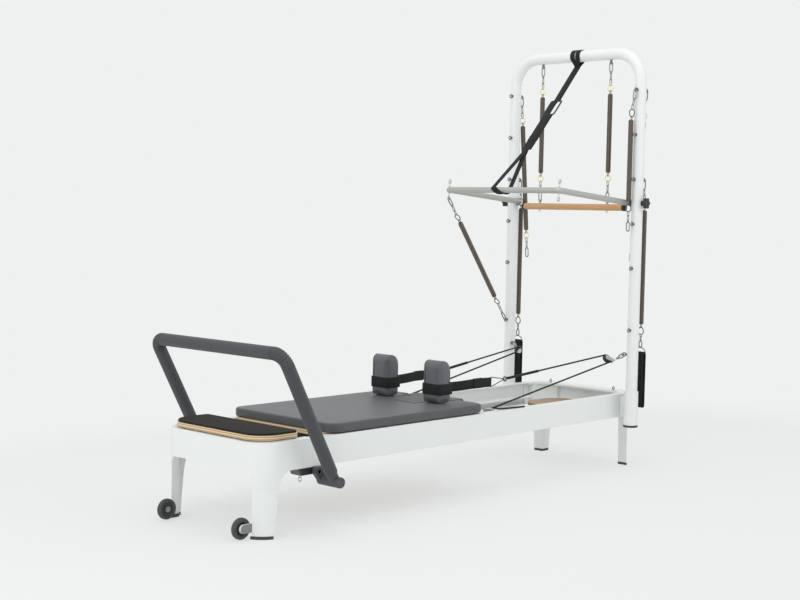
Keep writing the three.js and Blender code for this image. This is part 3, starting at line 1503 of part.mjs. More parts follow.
function addFootbar() {
  const group = new THREE.Group();
  group.position.set(frontX + footbar.pivotFromFront, 0, footbar.pivotHeight);
  part.add(group);
  addPart(group, 'footbar_frame', footbarFrame(), looks.footbarGrey);
  const [a, b, c, d] = footbarRoute();
  const bend = footbar.corner * Math.tan((Math.PI - b.clone().sub(a).angleTo(b.clone().sub(c))) / 2);
  const clear = bend + seat;
  addPart(group, 'footbar_top_pad', footbarPad(b, c, clear, clear), looks.footbarGrey);
  addPart(group, 'footbar_arm_pad_right', footbarPad(a, b, footbar.tube + footbar.padGap, clear),
    looks.footbarGrey);
  addPart(group, 'footbar_arm_pad_left', footbarPad(d, c, footbar.tube + footbar.padGap, clear),
    looks.footbarGrey);
  addPart(group, 'footbar_carrier', carrierSolid(), looks.blackPlastic);
  for (const [name, side] of sides) addPart(group, `lock_ring_${name}`, lockRingSolid(side), looks.steel);
}

function addCarriage() {
  const group = new THREE.Group();
  group.position.set(carriageX, 0, 0);
  part.add(group);
  addPart(group, 'carriage_board', boardSolid(), looks.ply);
  addPart(group, 'carriage_chassis', chassisSolid(), looks.steel);
  addPart(group, 'mattress', mattressSolid(), looks.vinyl);
  addPart(group, 'headrest', headrestSolid(), looks.vinyl);
  addPart(group, 'roller_axle_front', rollerPair(), looks.rubber).position.x = roller.frontFromEdge;
  addPart(group, 'roller_axle_back', rollerPair(), looks.rubber).position.x = roller.backFromEdge;
  for (const [name, side] of sides) {
    addPart(group, `shoulder_rest_${name}`, shoulderRest(side), looks.vinyl);
    addPart(group, `hand_strap_${name}`, handStrapSolid(side), looks.webbing);
  }
}

addFrame();
addTower();
addFootbar();
addCarriage();

export default part;
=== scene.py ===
"""Looks of a pilates reformer with a tower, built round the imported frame. Metres, +Z up, +X to the tower."""

import bisect
import functools
import json
import math

import bmesh
import bpy
from mathutils import Matrix, Vector
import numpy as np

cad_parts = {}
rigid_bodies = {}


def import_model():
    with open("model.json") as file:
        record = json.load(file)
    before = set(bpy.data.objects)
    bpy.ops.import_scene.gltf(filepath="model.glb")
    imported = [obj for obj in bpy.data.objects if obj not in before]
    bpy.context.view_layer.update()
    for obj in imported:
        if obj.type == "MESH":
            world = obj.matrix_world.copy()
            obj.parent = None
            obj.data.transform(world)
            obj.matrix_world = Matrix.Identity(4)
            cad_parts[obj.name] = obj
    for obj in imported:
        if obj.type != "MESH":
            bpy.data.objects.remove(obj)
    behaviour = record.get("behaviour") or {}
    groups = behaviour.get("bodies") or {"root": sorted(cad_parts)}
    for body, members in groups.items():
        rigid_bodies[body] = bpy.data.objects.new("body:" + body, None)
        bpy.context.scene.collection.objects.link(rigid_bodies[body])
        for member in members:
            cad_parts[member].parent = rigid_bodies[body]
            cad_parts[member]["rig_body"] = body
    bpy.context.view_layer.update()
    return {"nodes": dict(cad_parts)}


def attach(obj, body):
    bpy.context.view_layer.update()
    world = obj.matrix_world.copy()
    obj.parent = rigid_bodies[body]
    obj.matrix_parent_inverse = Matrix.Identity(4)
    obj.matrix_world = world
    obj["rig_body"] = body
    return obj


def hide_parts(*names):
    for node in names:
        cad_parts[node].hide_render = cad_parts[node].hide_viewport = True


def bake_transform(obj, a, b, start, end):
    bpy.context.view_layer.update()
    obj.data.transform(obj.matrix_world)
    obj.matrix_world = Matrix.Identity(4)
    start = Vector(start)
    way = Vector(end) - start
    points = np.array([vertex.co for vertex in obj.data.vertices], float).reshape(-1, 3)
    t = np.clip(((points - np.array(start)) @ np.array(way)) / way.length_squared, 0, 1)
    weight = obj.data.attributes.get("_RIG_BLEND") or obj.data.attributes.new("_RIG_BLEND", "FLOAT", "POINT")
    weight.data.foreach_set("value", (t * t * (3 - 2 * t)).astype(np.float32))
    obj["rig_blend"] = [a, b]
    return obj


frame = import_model()
scene = bpy.context.scene


def at(x, y, z):
    """A place or a direction."""
    return Vector((x, y, z))


X, Y, Z = at(1, 0, 0), at(0, 1, 0), at(0, 0, 1)
SIDES = (("left", 1), ("right", -1))
SEAT = 0.0003  # gap between pieces that touch
TURN = 2 * math.pi

# Tower and its eyes
TOWER_X, POST_Y, POST_FOOT, TOP_BAR_Z = 1.09475, 0.3835, 0.2305, 2.030
TUBE, TOWER_BEND = 0.028, 0.140
EYE_HEIGHTS = (1.848, 1.6335, 1.419, 1.2045, 0.990, 0.690)
ROPE_EYE_Z = 0.570
EYE, EYE_WIRE = 0.008, 0.003
SHORT_SHANK, LONG_SHANK, BAR_SHANK = 0.004, 0.014, 0.020

# Push-through bar and roll-down bar
BAR_PIVOT = at(TOWER_X, 0, 1.305)
BAR_REACH, BAR_Y, BAR_TUBE, BAR_BEND = 0.566, 0.339, 0.014, 0.016
BAR_PITCH = math.atan2(0.048, 0.564)
BAR_INSET = BAR_BEND * (1 - math.sqrt(0.5))  # how far the bent corner lies inside the sharp one
BAR_EYE_ROOT = 0.013
HOOK_Y, ROLL_Z, ROLL_ROD, ROLL_HALF = 0.208, 1.283, 0.0165, 0.316

# Springs and the straps that hang on them
HOOK_PLAY, RING_WIRE = 0.0018, 0.0024
# A ring's half width and height, and whether it is pale
ROUND, LONG = (0.018, 0.017, True), (0.017, 0.021, False)
ARM_HANG, LEG_HANG, SPARE_HANG = 0.830, 0.815, 0.678
LEG_SWAY = 0.016
DEE_HALF, DEE_HEIGHT, DEE_WIRE = 0.030, 0.026, 0.0025
STRAP = 0.003

# Ropes: hand strap ring, pulley and cleat on each side
RING_AT = {side: at(0.34775, side * 0.197, 0.489) for side in (1, -1)}
PULLEY = {side: at(TOWER_X - 0.062, side * 0.277, 0.545) for side in (1, -1)}
CLEAT = {side: at(0.18675, side * 0.260, 0.376) for side in (1, -1)}
ROPE, SHEAVE = 0.004, 0.021

# Carriage, footbar and wheels
REST_X, REST_Y = -0.07325, 0.157
MAT_TOP = 0.410
FOOT_PLAN = ((-0.03, -0.03), (0.03, -0.03), (0.03, 0.03), (-0.03, 0.03))  # of a shoulder rest's foot
FOOTBAR_PIVOT, CRANK, BAR_TOP = at(-0.93225, 0, 0.238), at(0.028, 0, -0.035), at(-0.247, 0, 0.472)
FOOTBAR_HALF, FOOTBAR_TUBE, ELBOW = 0.388, 0.0215, 0.052
WHEEL_X, WHEEL_Y, WHEEL_Z = -1.23625, 0.228, 0.044

GROUND = "EFF1F0"  # the pale floor and backdrop


# Materials
def colour(code):
    """An sRGB hex value as the linear colour of a socket."""
    shares = [int(code[i : i + 2], 16) / 255 for i in (0, 2, 4)]
    return [s / 12.92 if s <= 0.04045 else ((s + 0.055) / 1.055) ** 2.4 for s in shares] + [1]


def result(node):
    """A node's own result: the third output of a colour mix, and the first of the others."""
    return node.outputs[2 if node.bl_idname == "ShaderNodeMix" else 0]


def add(tree, kind, inputs=(), **settings):
    """A new node with its settings, and its inputs as values, hex colours, sockets or other nodes."""
    node = tree.nodes.new("ShaderNode" + kind)
    if kind == "Mix":
        node.data_type = "RGBA"
    for name, value in settings.items():
        setattr(node, name, value)
    for name, value in dict(inputs).items():
        if isinstance(value, bpy.types.Node):
            tree.links.new(result(value), node.inputs[name])
        elif isinstance(value, bpy.types.NodeSocket):
            tree.links.new(value, node.inputs[name])
        else:
            node.inputs[name].default_value = colour(value) if isinstance(value, str) else value
    return node


def material(name, base, **sockets):
    """A material with its shader's plain sockets set, what adds a node to it, and its object coordinates."""
    made = bpy.data.materials.new(name)
    made.use_nodes = True
    shader = made.node_tree.nodes["Principled BSDF"]
    shader.inputs["Base Color"].default_value = colour(base)
    for socket, value in sockets.items():
        shader.inputs[socket.replace("_", " ")].default_value = value
    grow = functools.partial(add, made.node_tree)
    return made, grow, grow("TexCoord").outputs["Object"]


PATTERNS = {
    "tint": ("Base Color", "Mix", (0, 6, 7)),
    "gloss": ("Roughness", "MapRange", ("Value", "To Min", "To Max")),
    "relief": ("Normal", "Bump", ("Height", "Strength", "Distance", "Normal")),
}


def dressed(made, **patterns):
    """The material with its tint, gloss and relief linked, each given as the inputs that PATTERNS names."""
    tree = made.node_tree
    for pattern, inputs in patterns.items():
        socket, kind, names = PATTERNS[pattern]
        node = add(tree, kind, dict(zip(names, inputs)))
        tree.links.new(result(node), tree.nodes["Principled BSDF"].inputs[socket])
    return made


def powder_coat():
    """Epoxy powder coat on cast and rolled metal: a low orange peel a few millimetres wide."""
    made, grow, place = material("powder_coat", "E8EAE9", IOR=1.5, Coat_Weight=0.15, Coat_Roughness=0.3)
    peel = grow("TexNoise", {"Vector": place, "Scale": 260.0, "Detail": 2.0})
    cloud = grow("TexNoise", {"Vector": place, "Scale": 3.0, "Detail": 3.0})
    return dressed(made, tint=(cloud, "E4E7E5", "EBEDEC"), gloss=(cloud, 0.36, 0.46),
                   relief=(peel, 0.25, 0.0004))


def moulded_abs():
    """Black ABS from a spark-eroded mould: a fine even grain that dulls the light."""
    made, grow, place = material("moulded_abs", "232425", IOR=1.52, Roughness=0.5)
    grain = grow("TexNoise", {"Vector": place, "Scale": 1400.0, "Detail": 1.0})
    return dressed(made, relief=(grain, 0.3, 0.0003))


def moulded_rubber(name, base):
    """Moulded rubber: matt, a little dusty where it is handled."""
    made, grow, place = material(name, base, IOR=1.52)
    dust = grow("TexNoise", {"Vector": place, "Scale": 60.0, "Detail": 4.0})
    share = grow("MapRange", {"Value": dust, "From Min": 0.45, "To Max": 0.35})
    return dressed(made, tint=(share, base, "5A5B59"), gloss=(dust, 0.6, 0.8), relief=(dust, 0.2, 0.0005))


def lacquered_ply(name, base, faces, plies):
    """Lacquered ply: rotary-cut faces, and light and dark plies at its edges, drawn thick enough to show."""
    made, grow, place = material(name, base, IOR=1.48, Roughness=0.42, Coat_Weight=0.2)
    split = grow("SeparateXYZ", {"Vector": place})
    normal = grow("SeparateXYZ", {"Vector": place.node.outputs["Normal"]})
    flat = grow("Math", {0: normal.outputs["Z"]}, operation="ABSOLUTE")
    stretched = grow("Mapping", {"Vector": place, "Scale": (60.0, 5.0, 60.0)})
    grain = grow("TexNoise", {"Vector": stretched, "Scale": 2.0, "Detail": 6.0, "Distortion": 1.2})
    face = grow("Mix", {0: grain, 6: faces[0], 7: faces[1]})
    turns = grow("Math", {0: split.outputs["Z"], 1: TURN / 0.0090}, operation="MULTIPLY")
    layers = grow("Math", {0: turns}, operation="SINE")
    share = grow("MapRange", {"Value": layers, "From Min": -0.4, "From Max": 0.4})
    edge = grow("Mix", {0: share, 6: plies[0], 7: plies[1]})
    return dressed(made, tint=(flat, edge, face), relief=(grain, 0.15, 0.0004))


def beech_rod():
    """Turned and lacquered beech: warm tan, with short dark flecks along the rod."""
    made, grow, place = material("beech_rod", "C49A68", IOR=1.48, Roughness=0.38, Coat_Weight=0.3)
    long_way = grow("Mapping", {"Vector": place, "Scale": (90.0, 6.0, 90.0)})
    streaks = grow("TexNoise", {"Vector": long_way, "Scale": 1.0, "Detail": 5.0, "Distortion": 0.6})
    flecks = grow("TexNoise", {"Vector": long_way, "Scale": 7.0, "Detail": 2.0})
    ground = grow("Mix", {0: streaks, 6: "B3834F", 7: "D6AE7C"})
    few = grow("MapRange", {"Value": flecks, "From Min": 0.6, "From Max": 0.75, "To Max": 0.5})
    return dressed(made, tint=(few, ground, "7E5630"))


def grip_mat():
    """Rubber mat with a raised grit about 1.5 mm wide, drawn as coarse as it shows."""
    made, grow, place = material("grip_mat", "2B2927", IOR=1.52, Roughness=0.9, Specular_IOR_Level=0.3)
    grit = grow("TexVoronoi", {"Vector": place, "Scale": 620.0})
    wear = grow("TexNoise", {"Vector": place, "Scale": 14.0, "Detail": 5.0})
    share = grow("Math", {0: grit, 1: wear}, operation="MULTIPLY")
    return dressed(made, tint=(share, "181615", "3B3734"), relief=(grit, 0.8, 0.0008))


def upholstery_vinyl(name, dark, light):
    """Upholstery vinyl over foam: soft pebble grain, a satin sheen and faint pulls in the cover."""
    made, grow, place = material(name, dark, IOR=1.5, Sheen_Weight=0.12, Sheen_Roughness=0.5)
    pebble = grow("TexVoronoi", {"Vector": place, "Scale": 700.0, "Smoothness": 0.6}, feature="SMOOTH_F1")
    pulls = grow("TexNoise", {"Vector": place, "Scale": 7.0, "Detail": 3.0, "Distortion": 0.8})
    low = grow("Bump", {"Height": pulls, "Strength": 0.25, "Distance": 0.002})
    return dressed(made, tint=(pulls, dark, light), gloss=(pebble, 0.38, 0.6),
                   relief=(pebble, 0.35, 0.0006, low))


def foam_sleeve():
    """Closed-cell foam sleeve: a smooth skin with shallow pores and a low even sheen."""
    made, grow, place = material("foam_sleeve", "4C4C52", IOR=1.5, Sheen_Weight=0.1)
    pores = grow("TexNoise", {"Vector": place, "Scale": 900.0, "Detail": 2.0})
    patches = grow("TexNoise", {"Vector": place, "Scale": 22.0, "Detail": 4.0})
    return dressed(made, tint=(patches, "36383C", "424448"), gloss=(patches, 0.5, 0.68),
                   relief=(pores, 0.3, 0.0004))


def plated_metal(name, base, rough, metallic=1.0):
    """Plated or painted metal: fine uneven polish that spreads its highlights."""
    made, grow, place = material(name, base, Metallic=metallic)
    rub = grow("TexNoise", {"Vector": place, "Scale": 180.0, "Detail": 5.0})
    return dressed(made, gloss=(rub, rough - 0.12, rough + 0.12), relief=(rub, 0.08, 0.0003))


def sweep_lengths(grow):
    """How far along and across its sweep each point of a cord, tape or tube lies."""
    return [grow("Attribute", attribute_name=way).outputs["Fac"] for way in ("along", "across")]


def brushed_tube():
    """Anodised aluminium tube, brushed along its length, which runs along the piece's own sweep."""
    made, grow = material("brushed_tube", "B4B6B0", Metallic=0.55)[:2]
    along, across = sweep_lengths(grow)
    spread = grow("CombineXYZ", {"X": along, "Y": across})
    lines = grow("Mapping", {"Vector": spread, "Scale": (12.0, 2600.0, 1.0)})
    brush = grow("TexNoise", {"Vector": lines, "Scale": 1.0, "Detail": 3.0})
    return dressed(made, gloss=(brush, 0.4, 0.58), relief=(brush, 0.15, 0.0002))


def crossed_waves(made, grow, first, second, tints, lift):
    """A weave: two waves, each from a length and its spacing, that lift each other's threads."""
    waves = []
    for length, spacing in (first, second):
        scaled = grow("Math", {0: length, 1: TURN / spacing}, operation="MULTIPLY")
        waves.append(grow("Math", {0: scaled}, operation="SINE"))
    weave = grow("Math", {0: waves[0], 1: waves[1]}, operation="MULTIPLY")
    share = grow("MapRange", {"Value": weave, "From Min": -1.0})
    return dressed(made, tint=(share, *tints), relief=(weave, *lift))


def woven_webbing():
    """Black nylon webbing: ribs across the tape about 2 mm apart and finer threads along it."""
    made, grow = material("woven_webbing", "121213", IOR=1.45, Roughness=0.85, Sheen_Weight=0.04)[:2]
    along, across = sweep_lengths(grow)
    return crossed_waves(made, grow, (along, 0.0022), (across, 0.0030), ("0A0A0B", "1B1B1D"), (0.6, 0.0004))


def braided_cord():
    """Braided polyester cord: strands that cross on a slant about 3 mm apart."""
    made, grow = material("braided_cord", "1A1A1B", IOR=1.45, Roughness=0.8, Sheen_Weight=0.05)[:2]
    along, across = sweep_lengths(grow)
    there = grow("Math", {0: along, 1: across}, operation="ADD")
    back = grow("Math", {0: along, 1: across}, operation="SUBTRACT")
    return crossed_waves(made, grow, (there, 0.0042), (back, 0.0042), ("101011", "2B2B2D"), (0.5, 0.0006))


WHITE = powder_coat()
BLACK_ABS = moulded_abs()
PAD_RUBBER = moulded_rubber("pad_rubber", "3A3B3B")
TYRE_RUBBER = moulded_rubber("tyre_rubber", "444644")
PLY = lacquered_ply("birch_ply", "D8B88C", ("C9A87E", "E3CDA8"), ("B39468", "E4CFA9"))
SHELF_PLY = lacquered_ply("stained_ply", "A07852", ("97704C", "A8815A"), ("845F3C", "A07850"))
BEECH = beech_rod()
GRIP = grip_mat()
VINYL = upholstery_vinyl("carriage_vinyl", "424447", "4C4E51")
REST_VINYL = upholstery_vinyl("rest_vinyl", "56575C", "626367")
FOAM = foam_sleeve()
ZINC = plated_metal("zinc_plate", "C4C6C6", 0.34)
YELLOW_ZINC = plated_metal("yellow_zinc", "F2E6A6", 0.34, metallic=0.5)
DARK_STEEL = plated_metal("dark_steel", "66686B", 0.36)
HOOK_STEEL = plated_metal("hook_steel", "8A8C8D", 0.30)
SPRING_WIRE = plated_metal("spring_wire", "786E64", 0.42, metallic=0.65)
TUBE_METAL = brushed_tube()
WEBBING = woven_webbing()
CORD = braided_cord()
GREY_PAINT = plated_metal("grey_paint", "434548", 0.5, metallic=0.0)


# Outlines and routes
def circle(radius, sides):
    """A round section as points."""
    turns = [TURN * i / sides for i in range(sides)]
    return [(radius * math.cos(turn), radius * math.sin(turn)) for turn in turns]


def tape(width, thickness, rounds=3):
    """The section of a flat tape with round edges: x is its thickness and y its width."""
    half, edge = width / 2, thickness / 2
    ends = []
    for middle, start in ((half - edge, 0.0), (edge - half, math.pi)):
        for i in range(rounds + 1):
            angle = start + math.pi * i / rounds
            ends.append((edge * math.cos(angle), middle + edge * math.sin(angle)))
    return ends


def bent(corners, radius, steps):
    """Points of a bent tube: straight runs with an arc at each inner corner."""
    points = [corners[0]]
    for before, here, after in zip(corners, corners[1:], corners[2:]):
        back, on = (before - here).normalized(), (after - here).normalized()
        half = back.angle(on) / 2
        middle = here + (back + on).normalized() * radius / math.sin(half)
        start = here + back * radius / math.tan(half) - middle
        axis = on.cross(back)
        for step in range(steps + 1):
            points.append(middle + Matrix.Rotation((math.pi - 2 * half) * step / steps, 3, axis) @ start)
    return points + [corners[-1]]


def rounded_loop(corners, radius, steps):
    """Points of a closed loop of straight runs with an arc at each corner."""
    start = (corners[0] + corners[1]) / 2
    return bent([start, *corners[1:], corners[0], start], radius, steps)[:-1]


def loop(centre, axis, radius, reach=None, towards=Z, steps=28):
    """Points of a round or long loop in the plane across an axis."""
    up = (towards - axis * towards.dot(axis) / axis.length_squared).normalized()
    side = up.cross(axis).normalized()
    longer = (reach or radius) - radius
    points = []
    for i in range(steps):
        turn = TURN * i / steps
        height = math.cos(turn) * radius + math.copysign(longer, math.cos(turn))
        points.append(centre + up * height + side * math.sin(turn) * radius)
    return points


def outline(corners, steps=8):
    """Points of a flat outline from (x, y, radius) corners."""
    points = []
    for index, (x, y, radius) in enumerate(corners):
        here = at(x, y, 0)
        if radius:
            before, after = (at(*corners[i][:2], 0) for i in (index - 1, (index + 1) % len(corners)))
            points += bent([before, here, after], radius, steps)[1:-1]
        else:
            points.append(here)
    return points


def both_halves(corners):
    """An outline's corners from those on its -Y half."""
    return corners + [(x, -y, radius) for x, y, radius in reversed(corners)]


# Mesh tools
def places(path, up, closed, carried):
    """One placing for each point of a path, square to it."""
    count, made = len(path), []
    for i, point in enumerate(path):
        arriving = (point - path[i - 1]).normalized() if i or closed else Vector()
        leaving = (path[(i + 1) % count] - point).normalized() if i < count - 1 or closed else Vector()
        on = (arriving + leaving).normalized()
        flat = (up - on * up.dot(on)).normalized()
        up = flat if carried else up
        turn = Matrix((flat.cross(on), flat, on)).transposed().to_4x4()
        made.append(Matrix.Translation(point) @ turn)
    return made


def verts_of(geometry):
    """The vertices among what an operator gives back."""
    return [item for item in geometry if isinstance(item, bmesh.types.BMVert)]


def swept(section, path, up=Z, closed=False, carried=True):
    """Extrudes a section along a path, and keeps how far along and across each point lies."""
    bm = bmesh.new()
    along = bm.verts.layers.float.new("along")
    across = bm.verts.layers.float.new("across")
    spots = places(path, up, closed, carried)
    verts = [bm.verts.new((x, y, 0)) for x, y in section]
    edges = [bm.edges.new((verts[i - 1], vert)) for i, vert in enumerate(verts)]
    for i, vert in enumerate(verts):
        vert[across] = sum((verts[k].co - verts[k - 1].co).length for k in range(1, i + 1))
    bmesh.ops.transform(bm, matrix=spots[0], verts=verts)
    first, travelled = edges, 0.0
    for here, there in zip(spots, spots[1:] + spots[:1] if closed else spots[1:]):
        grown = bmesh.ops.extrude_edge_only(bm, edges=edges)["geom"]
        verts = verts_of(grown)
        edges = [item for item in grown if isinstance(item, bmesh.types.BMEdge) and item.is_boundary]
        bmesh.ops.transform(bm, matrix=there @ here.inverted(), verts=verts)
        travelled += (there.translation - here.translation).length
        for vert in verts:
            vert[along] = travelled
    if closed:
        bmesh.ops.remove_doubles(bm, verts=bm.verts, dist=1e-6)
    else:
        for end in (first, edges):
            bmesh.ops.contextual_create(bm, geom=end)
    bmesh.ops.recalc_face_normals(bm, faces=bm.faces)
    return bm


def ring(wire, sides, centre, axis, radius, reach=None, towards=Z, steps=28):
    """A wire bent to a closed round or long loop."""
    return swept(circle(wire, sides), loop(centre, axis, radius, reach, towards, steps), axis, closed=True)


def band(width, thickness, path, up=Y, closed=False):
    """A flat strap along a path, with its width along up."""
    return swept(tape(width, thickness), path, up, closed, carried=False)


def moved(bm, matrix):
    """The same mesh, placed."""
    bmesh.ops.transform(bm, matrix=matrix, verts=bm.verts)
    return bm


def facing(start, direction):
    """A placing that turns +Z to a direction and moves the origin to a start."""
    return Matrix.Translation(start) @ direction.to_track_quat("Z", "Y").to_matrix().to_4x4()


def spun(profile, steps, root, direction):
    """Spins a profile of (radius, height) about a direction, from a root."""
    bm = bmesh.new()
    verts = [bm.verts.new((radius, 0, height)) for radius, height in profile]
    edges = [bm.edges.new(pair) for pair in zip(verts, verts[1:])]
    bmesh.ops.spin(bm, geom=verts + edges, axis=Z, cent=(0, 0, 0), angle=TURN, steps=steps, use_merge=True)
    bmesh.ops.remove_doubles(bm, verts=bm.verts, dist=1e-6)
    bmesh.ops.recalc_face_normals(bm, faces=bm.faces)
    return moved(bm, facing(root, direction))


def slab(corners, depth, direction):
    """A flat outline of points pushed out to a solid along a direction."""
    bm = bmesh.new()
    face = bm.faces.new([bm.verts.new(corner) for corner in corners])
    grown = bmesh.ops.extrude_face_region(bm, geom=[face])["geom"]
    bmesh.ops.translate(bm, vec=direction * depth, verts=verts_of(grown))
    bmesh.ops.recalc_face_normals(bm, faces=bm.faces)
    return bm


def round_edges(bm, edges, width, steps):
    """Rounds chosen edges of a mesh."""
    bmesh.ops.bevel(bm, geom=edges, offset=width, segments=steps, profile=0.5, affect="EDGES", material=-1)


def rims_of(bm, axis):
    """The edges that lie across an axis: 1 for Y, 2 for Z."""
    return [edge for edge in bm.edges if abs(edge.verts[0].co[axis] - edge.verts[1].co[axis]) < 1e-6]


def all_of(bm):
    """All that a mesh holds."""
    return bm.verts[:] + bm.edges[:] + bm.faces[:]


def cut(bm, place, normal):
    """Cuts a mesh's faces where a plane crosses them."""
    bmesh.ops.bisect_plane(bm, geom=all_of(bm), plane_co=place, plane_no=normal, dist=1e-5)


def as_mesh(name, bm):
    """A mesh from a bmesh, which is freed."""
    mesh = bpy.data.meshes.new(name)
    bm.to_mesh(mesh)
    bm.free()
    return mesh


def in_scene(name, data):
    """A new object in the scene."""
    made = bpy.data.objects.new(name, data)
    scene.collection.objects.link(made)
    return made


def together(*groups):
    """Several meshes as one: each group of them takes the next of its piece's materials."""
    whole = bmesh.new()
    for index, group in enumerate(groups):
        for part in group:
            for face in part.faces:
                face.material_index = index
            held = as_mesh("held", part)
            whole.from_mesh(held)
            bpy.data.meshes.remove(held)
    return whole


def piece(name, bm, body, materials, node=None, smooth=40.0, rounded=0.0, held=None):
    """A finished piece: smooth except over sharp edges, which can be rounded, riding on its body.

    It stands for a frame node, if one is named. held is for a strap, spring or rope: the body that carries
    its far end, and the points between which it gives.
    """
    for face in bm.faces:
        face.smooth = True
    for edge in bm.edges:
        edge.smooth = len(edge.link_faces) == 2 and edge.calc_face_angle(0.0) < math.radians(smooth)
    made = in_scene(name, as_mesh(name, bm))
    for one in materials if isinstance(materials, list) else [materials]:
        made.data.materials.append(one)
    if rounded:
        bevel = made.modifiers.new("rounded edges", "BEVEL")
        bevel.width, bevel.segments, bevel.limit_method = rounded, 2, "ANGLE"
        bevel.angle_limit, bevel.harden_normals = math.radians(smooth), True
    if held:
        mover, start, end = held
        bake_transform(made, body, mover, start=start, end=end)
    else:
        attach(made, body)
    if node:
        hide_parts(node)
    return made


def copied(node):
    """A merged copy of a frame node's mesh."""
    bm = bmesh.new()
    bm.from_mesh(frame["nodes"][node].data)
    bmesh.ops.remove_doubles(bm, verts=bm.verts, dist=2e-5)
    bmesh.ops.dissolve_limit(bm, angle_limit=math.radians(0.5), verts=bm.verts, edges=bm.edges)
    return bm


def from_frame(node, finish, rounded=0.001):
    """A merged copy of a frame node with softened edges, which stands for it."""
    bm = copied(node)
    for face in bm.faces:
        face.material_index = 0
    piece(node + "_finish", bm, frame["nodes"][node]["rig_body"], finish, node, 32.0, rounded)


# Camera, lights, floor and backdrop
def set_camera():
    data = bpy.data.cameras.new("camera")
    data.lens, data.sensor_width, data.clip_end = 62.466, 36.0, 200.0
    camera = in_scene("camera", data)
    yaw, pitch, roll = (math.radians(angle) for angle in (43.458, 3.671, -1.161))
    ahead = at(math.cos(yaw) * math.cos(pitch), math.sin(yaw) * math.cos(pitch), -math.sin(pitch))
    level = at(math.sin(yaw), -math.cos(yaw), 0)
    rise = level.cross(ahead)
    right = level * math.cos(roll) - rise * math.sin(roll)
    up = level * math.sin(roll) + rise * math.cos(roll)
    turn = Matrix((right, up, -ahead)).transposed().to_4x4()
    camera.matrix_world = Matrix.Translation((-4.568, -4.184, 1.245)) @ turn
    scene.camera = camera


def pale_rays(grow):
    """1 for the rays that see the backdrop, straight or in metal and glass."""
    seen = grow("LightPath").outputs
    most = grow("Math", {0: seen["Is Camera Ray"], 1: seen["Is Glossy Ray"]}, operation="MAXIMUM")
    return grow("Math", {0: most, 1: seen["Is Transmission Ray"]}, operation="MAXIMUM")


def set_lights():
    for name, spot, aim, size, power in (
        ("overhead", at(-0.6, -0.8, 4.6), at(0.1, 0, 0.4), 4.5, 46.0),
        ("left window", at(-4.6, -0.8, 2.2), at(0, 0, 0.7), 3.2, 40.0),
        ("right fill", at(1.6, -4.6, 2.0), at(0.4, 0, 0.8), 3.2, 17.0),
    ):
        data = bpy.data.lights.new(name, "AREA")
        data.shape, data.size, data.energy = "DISK", size, power
        in_scene(name, data).matrix_world = facing(spot, spot - aim)
    scene.world = bpy.data.worlds.new("studio")
    scene.world.use_nodes = True
    scene.world.node_tree.nodes.clear()
    grow = functools.partial(add, scene.world.node_tree)
    pale = grow("Background", {"Color": GROUND, "Strength": 1.0})
    soft = grow("Background", {"Color": "F4F6F7", "Strength": 0.86})
    mix = grow("MixShader", {0: pale_rays(grow), 1: soft, 2: pale})
    grow("OutputWorld", {"Surface": mix})


def set_floor():
    bm = bmesh.new()
    bmesh.ops.create_circle(bm, cap_ends=True, segments=96, radius=30.0)
    floor = in_scene("floor", as_mesh("floor", bm))
    made, grow, place = material("studio_floor", "E9EAEA", Roughness=0.9, Specular_IOR_Level=0.1)
    oval = grow("Mapping", {"Vector": place, "Scale": (0.62, 1.0, 1.0)})
    radius = grow("VectorMath", {0: oval}, operation="LENGTH").outputs["Value"]
    far = grow("MapRange", {"Value": radius, "From Min": 0.7, "From Max": 2.6}, interpolation_type="SMOOTHSTEP")
    veil = grow("Math", {0: pale_rays(grow), 1: 0.62}, operation="MULTIPLY")
    share = grow("Math", {0: far, 1: veil}, operation="MAXIMUM")
    even = grow("Emission", {"Color": GROUND, "Strength": 1.0})
    nodes = made.node_tree.nodes
    mix = grow("MixShader", {0: share, 1: nodes["Principled BSDF"], 2: even})
    made.node_tree.links.new(result(mix), nodes["Material Output"].inputs["Surface"])
    floor.data.materials.append(made)


# Finishes on pieces that keep their solids' shapes
def make_castings():
    """The end castings, with plated axle ends and plated eyes.

    Below a step, the legs are a millimetre slimmer at the foot end and a millimetre wider at the head end.
    """
    for node, step, way in (("foot_end_casting", 0.190, -1), ("head_end_casting", 0.046, 1)):
        bm = copied(node)
        for height in (step, step - 0.0012):
            cut(bm, Z * height, Z)
        bm.normal_update()
        legs = [(vert, at(vert.normal.x, vert.normal.y, 0) * 0.0011 * way) for vert in bm.verts
                if vert.co.z < step - 0.0006 and not (vert.co.x < -1.21 and vert.co.z < 0.08)]
        for vert, shift in legs:
            vert.co += shift
        for face in bm.faces:
            middle = face.calc_center_median()
            axle = math.hypot(middle.x - WHEEL_X, middle.z - WHEEL_Z) < 0.0085
            face.material_index = int(axle if way < 0 else middle.z > 0.3672)
        piece(node + "_finish", bm, "frame", [WHITE, HOOK_STEEL], node, 32.0, 0.0012)


def make_sockets():
    """Cast sockets for the posts, white with a dark ring below."""
    for node in ("post_socket_left", "post_socket_right"):
        bm = copied(node)
        for face in bm.faces:
            face.material_index = int(face.calc_center_median().z < 0.2261)
        piece(node + "_finish", bm, "frame", [WHITE, BLACK_ABS], node, 32.0, 0.0012)


